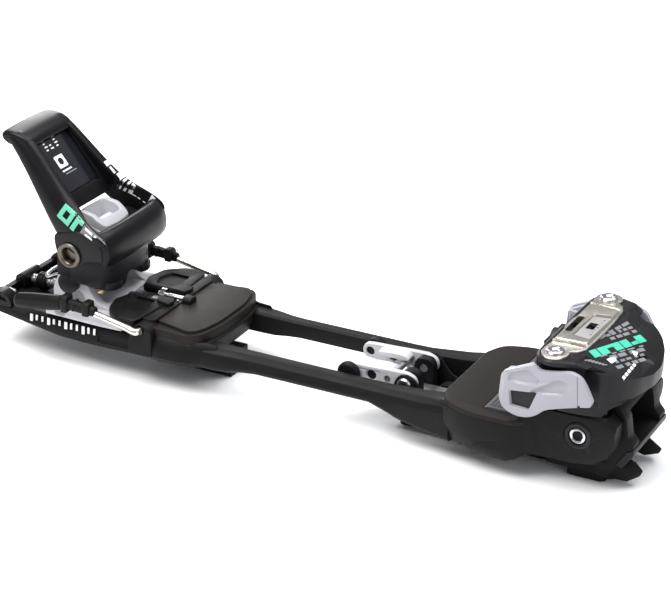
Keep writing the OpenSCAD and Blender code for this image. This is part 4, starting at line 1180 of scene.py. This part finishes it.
# Grip section: x, z
GRIP = ((-258.2, 130.4), (-257.8, 127.6), (-254.4, 125.4), (-249.4, 124.2), (-243.6, 125.6),
        (-238.4, 123.6), (-236.6, 125.2), (-239.2, 129.0), (-245.0, 131.7), (-251.4, 132.4),
        (-256.2, 132.0))


def grip_ring(y):
    """The section crowned in the middle and narrowed at the very ends."""
    reach = abs(y) / 22.4
    is_end = reach > 0.98
    crown = 0.9 * (1 - reach * reach) - (1.2 if is_end else 0)
    size = 0.8 if is_end else 1.0
    return [(-251 + (x + 251) * size, y, z + crown * (1 if z > 128 else 0.4)) for x, z in GRIP]


grip = subdivide(loft("lever_grip", [grip_ring(y) for y in (
    -22.4, -21.4, -17, -9, 0, 9, 17, 21.4, 22.4)]))
piece(grip, LEVER, "heel_lever", "heel_black", smooth=50)

# Marks on the panel: columns of dashes, a square badge with a round hole, and two bars
PANEL_DOWN = Vector((25.4, 0, -31.9)).normalized()
PANEL_OUT = Vector((31.9, 0, 25.4)).normalized()


def panel_prism(name, outline, low, high):
    """Solid on the panel from an outline of (distance down it, y)."""
    def place(down, y, height):
        point = Vector((-244.4, 0, 129.3)) + PANEL_DOWN * down + PANEL_OUT * (height + 0.12)
        return (point.x, y, point.z)

    return loft(name, [[place(*point, height) for point in outline] for height in (low, high)])


def panel_rect(down0, y0, down1, y1):
    return [(down0, y0), (down0, y1), (down1, y1), (down1, y0)]


def panel_mark(name, outline, material):
    piece(panel_prism(name, outline, -0.4, 0.08), material, "heel_lever", "white_mark")


for i in range(5):
    down = 4.6 + i * 2.1
    for column, y in enumerate((-8.6, -4.2, 1.2)):
        if column == 1 and i not in (3, 4):
            continue
        length = 2.6 if (i + column) % 2 else 1.8
        panel_mark("scale_dash_%d_%d" % (column, i),
                   panel_rect(down, y, down + 0.8, y + length), WHITE_INK)
badge = panel_prism("square_badge", rounded(panel_rect(18.6, -7.2, 26.4, 0.8), 0.8, 3), -0.4, 0.1)
cut(badge, panel_prism("cut", polar((22.5, -3.2), 2.3, range(0, 360, 15)), -2, 2))
piece(badge, WHITE_INK, "heel_lever", "white_mark")
panel_mark("badge_bar_0", panel_rect(28.0, -6.8, 28.9, 1.8), WHITE_INK)
panel_mark("badge_bar_1", panel_rect(30.2, -5.6, 30.9, 4.6), GREY_INK)


# ------------------------------------------------------------------ patches on the arms
def surface_of(ob):
    return BVHTree.FromPolygons([vertex.co.copy() for vertex in ob.data.vertices],
                                [tuple(polygon.vertices) for polygon in ob.data.polygons])


PATCH_DEPTH = 0.0006  # how far a patch sinks into the surface, in metres


def wrap(name, surface, corners, ray, material, columns=14, rows=8, lift=0.00014):
    """A thin patch: a quad of corners carried along the ray onto the surface."""
    quad = [metres(*corner) for corner in corners]
    ray = Vector(ray).normalized()
    top, bottom = [], []
    for i in range(columns + 1):
        for j in range(rows + 1):
            u, v = i / columns, j / rows
            point = ((quad[0] * (1 - u) + quad[1] * u) * (1 - v)
                     + (quad[3] * (1 - u) + quad[2] * u) * v)
            hit, normal, _, _ = surface.ray_cast(point - ray * 0.03, ray)
            if hit is None:
                hit, normal, _, _ = surface.find_nearest(point)
            if normal.dot(ray) > 0:
                normal = -normal
            top.append(hit + normal * lift)
            bottom.append(hit - normal * PATCH_DEPTH)
    row = rows + 1
    under = (columns + 1) * row
    faces = []
    for i in range(columns):
        for j in range(rows):
            a, b = i * row + j, (i + 1) * row + j
            faces += [[a, b, b + 1, a + 1], [under + a + 1, under + b + 1, under + b, under + a]]
    edge = ([i * row for i in range(columns + 1)]
            + [columns * row + j for j in range(1, row)]
            + [i * row + rows for i in range(columns - 1, -1, -1)]
            + list(range(rows - 1, 0, -1)))
    for k in range(len(edge)):
        a, b = edge[k], edge[(k + 1) % len(edge)]
        faces.append([b, a, under + a, under + b])
    piece(new_object(name, top + bottom, faces), material, "heel_lever", "white_mark", smooth=40)


near_surface = surface_of(arm)
LABEL_ALONG = Vector((29.1, 0, -16.8)).normalized()
LABEL_UP = Vector((16.8, 0, 29.1)).normalized()


def label_point(along, up):
    point = Vector((-213.0, -36, 94.2)) + LABEL_ALONG * along + LABEL_UP * up
    return (point.x, -36, point.z)


# name, along from and to, up from and to, material, lift in metres
LABELS = (("arm_teal_0", 0.0, 2.8, -4.4, 4.2, MINT_INK, 0.00014),
          ("arm_teal_1", 2.8, 6.4, 1.9, 4.2, MINT_INK, 0.00014),
          ("arm_teal_2", 2.8, 6.4, -4.4, -2.1, MINT_INK, 0.00014),
          ("arm_teal_3", 6.4, 9.2, -4.4, 4.2, MINT_INK, 0.00014),
          ("arm_teal_4", 10.6, 13.6, -4.4, 4.2, MINT_INK, 0.00014),
          ("arm_teal_5", 13.6, 16.6, 1.6, 4.2, MINT_INK, 0.00014),
          ("arm_grey", 17.4, 34.6, -4.6, 4.3, GREY_INK, 0.0001),
          ("arm_white_0", 19.0, 24.4, 1.4, 3.0, WHITE_INK, 0.00024),
          ("arm_white_1", 20.6, 25.8, -1.8, -0.4, WHITE_INK, 0.00024),
          ("arm_white_2", 25.8, 27.4, -3.0, 3.0, WHITE_INK, 0.00024))
for name, start, end, low, high, material, lift in LABELS:
    wrap(name, near_surface, [label_point(*point) for point in rect(start, low, end, high)],
         (0, 1, 0), material, lift=lift)

# White blocks along the far arm's front: length, gap after it, y from and to
FAR_BLOCKS = ((3.2, 1.0, 20.2, 23.9), (4.6, 1.0, 21.1, 22.6), (4.2, 0.9, 22.0, 25.9),
              (1.3, 1.6, 22.6, 25.8), (1.3, 0.9, 23.2, 26.4), (5.6, 1.0, 25.2, 26.8),
              (1.4, 2.2, 25.8, 28.4), (1.4, 1.0, 26.8, 29.2), (4.0, 0.6, 28.4, 30.2))
far_surface = surface_of(far_arm)
BLOCKS_ALONG = Vector((34.2, 0, -20.0)).normalized()


def block_point(along, y):
    point = Vector((-222.0, 0, 96.5)) + BLOCKS_ALONG * along
    return (point.x, y, point.z)


along = 0.0
for i, (length, gap, y0, y1) in enumerate(FAR_BLOCKS):
    wrap("far_block_%d" % i, far_surface,
         [block_point(*point) for point in rect(along, y0, along + length, y1)],
         (-0.5, 0, -0.86), WHITE_INK, columns=10, rows=18, lift=0.0003)
    along += length + gap

# ------------------------------------------------------------------ bail
bail = wire("bail_arm", [
    (-155.4, -41.0, 35.2), (-155.6, -43.6, 35.3), (-157.8, -44.4, 35.9), (-162, -44.2, 37.0),
    (-174, -44.0, 39.2), (-186, -43.9, 41.5), (-193.6, -43.9, 42.9)], 2.05, 8)
both(bail, WIRE, "climb_bail", "wire_steel", "bail_wire", smooth=60)
piece(rod("bail_shaft", BAIL_AXIS, 2.15, -42.0, 42.0, "y", 32), WIRE, "climb_bail",
      "wire_steel", smooth=60)
# x, centre y, centre z, half width, half height
BAIL_FOOT = ((-239.0, 43.6, 37.9, 2.6, 3.0), (-237.2, 43.8, 38.5, 3.2, 4.4),
             (-228, 44.0, 40.0, 3.3, 4.7), (-214, 44.0, 42.0, 3.3, 4.7),
             (-206.5, 44.0, 43.2, 3.3, 4.3), (-205.6, 44.0, 43.3, 2.6, 3.2),
             (-196, 44.0, 43.3, 2.7, 3.3), (-183, 43.8, 42.3, 2.6, 2.9),
             (-182.2, 43.8, 42.2, 2.0, 2.3))
foot = stations("bail_foot", lambda y, z, width, height: [
    (-(y - width), z - height * 0.75), (-(y + width * 0.6), z - height),
    (-(y + width), z - height * 0.4), (-(y + width), z + height * 0.35),
    (-(y + width * 0.4), z + height), (-(y - width * 0.7), z + height * 0.85)], BAIL_FOOT)
both(bevel(foot, 0.55, 3, 22), BLACK, "climb_bail", "frame_plastic", "bail_feet", smooth=32)
# x from and to, z from and to, half width
CLIPS = ((-205.2, -200.4, 38.8, 48.8, 3.6), (-197.6, -195.8, 40.6, 46.6, 3.2),
         (-190.4, -185.6, 39.4, 47.6, 3.6))
for i, (x0, x1, low, high, width) in enumerate(CLIPS):
    clip = stations("bail_clip_%d" % i, lambda inset: [
        (-(44 - width), low + inset), (-(44 + width - inset), low + inset),
        (-(44 + width - inset), high - 2), (-(44 + width - 1.8), high - inset),
        (-(44 - width), high - inset)], ((x0, 0.6), (x0 + 0.6, 0), (x1 - 0.6, 0), (x1, 0.6)))
    both(bevel(clip, 0.4, 2, 22), BLACK, "climb_bail", "frame_plastic", smooth=32)

# Length scale on the tray walls, every third mark longer and wider
for side, side_name in SIDES:
    for i in range(12):
        x = -234.6 + 4.05 * i
        is_major = i % 3 == 0
        low = (22.6 if is_major else 23.8) - (0.6 if i > 6 else 0)
        mark = prism("scale_%s_%02d" % (side_name, i), [
            (x, low), (x + (1.8 if is_major else 1.2), low),
            (x + (2.1 if is_major else 1.5), 27.0), (x + 0.3, 27.0)], side * 36.7, side * 37.28)
        piece(mark, WHITE_INK, "frame", "white_mark",
              *(("scale_marks",) if i == 0 and side < 0 else ()))

# ------------------------------------------------------------------ CAD pieces kept as they are
CAD_MATERIALS = {
    BASE: ("rear_anchor",),
    STEEL: ("crank_pin", "drag_link", "link_pin", "lock_hook", "hook_screws", "toe_spring",
            "toe_screw", "pressure_spring", "heel_pivot_pin", "heel_spring", "cup_screws",
            "heel_screw"),
    CHROME: ("gauge_rod",), LEVER: ("housing_screws",), HOUSING: ("toe_piston",),
    BRASS: ("spindle_nut",),
}
material_of = {name: material for material, names in CAD_MATERIALS.items() for name in names}
for name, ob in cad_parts.items():
    if name in material_of:
        ob.data.materials.clear()
        ob.data.materials.append(material_of[name])
        modifier = ob.modifiers.new("soft", "BEVEL")
        modifier.width = 0.00025
        modifier.segments = 2
        modifier.limit_method = "ANGLE"
        modifier.angle_limit = math.radians(50)

# ------------------------------------------------------------------ floor, light and camera
bpy.ops.mesh.primitive_plane_add(size=8, location=(0, 0, -0.0004))
floor = bpy.context.object
floor.name = "floor"
floor_material, tree, shader = new_material("m_floor")
tint = ramp(tree, noise(tree, 3), low=(0.86, 0.86, 0.865), high=(0.90, 0.90, 0.902))
tree.links.new(tint, shader.inputs["Base Color"])
shader.inputs["Roughness"].default_value = 0.62
shader.inputs["Specular IOR Level"].default_value = 0.25
floor.data.materials.append(floor_material)

world = bpy.data.worlds.new("w")
world.use_nodes = True
scene.world = world
background = world.node_tree.nodes["Background"]
background.inputs[0].default_value = (0.93, 0.95, 1.0, 1)
background.inputs[1].default_value = 0.42


def area_light(name, location, target, size, power, colour, size_y=None):
    light = bpy.data.lights.new(name, "AREA")
    light.energy = power
    light.color = colour
    light.size = size
    if size_y:
        light.shape = "RECTANGLE"
        light.size_y = size_y
    ob = bpy.data.objects.new(name, light)
    scene.collection.objects.link(ob)
    ob.location = location
    aim = Vector(target) - Vector(location)
    ob.rotation_euler = aim.to_track_quat("-Z", "Y").to_euler()


area_light("key", (-0.45, -0.55, 1.25), (0, 0, 0.03), size=0.8, power=26, colour=(1, 0.99, 0.97))
area_light("top", (0.25, 0.35, 1.5), (0, 0, 0.03), size=1.4, power=30, colour=(0.98, 0.99, 1))
area_light("fill", (0.95, -0.45, 0.35), (0.1, 0, 0.04), size=0.5, power=2.2,
           colour=(0.95, 0.97, 1))
area_light("rim", (-0.7, 0.75, 0.55), (-0.1, 0, 0.08), size=0.3, power=5, colour=(1, 1, 1),
           size_y=0.9)
scene.view_settings.view_transform = "Standard"

lens = bpy.data.cameras.new("cam")
lens.lens = 116.1
lens.sensor_width = 36
lens.clip_start = 0.01
camera = bpy.data.objects.new("cam", lens)
scene.collection.objects.link(camera)
eye_point = Vector((0.5223, -0.9607, 0.5651))
look_at = Vector((0.0002, 0, 0.0603))
roll = math.radians(-0.27)
forward = (look_at - eye_point).normalized()
level_right = forward.cross(Vector((0, 0, 1))).normalized()
level_up = level_right.cross(forward)
right = level_right * math.cos(roll) + level_up * math.sin(roll)
up = -level_right * math.sin(roll) + level_up * math.cos(roll)
camera.matrix_world = Matrix((*zip(right, up, -forward, eye_point), (0, 0, 0, 1)))
scene.camera = camera
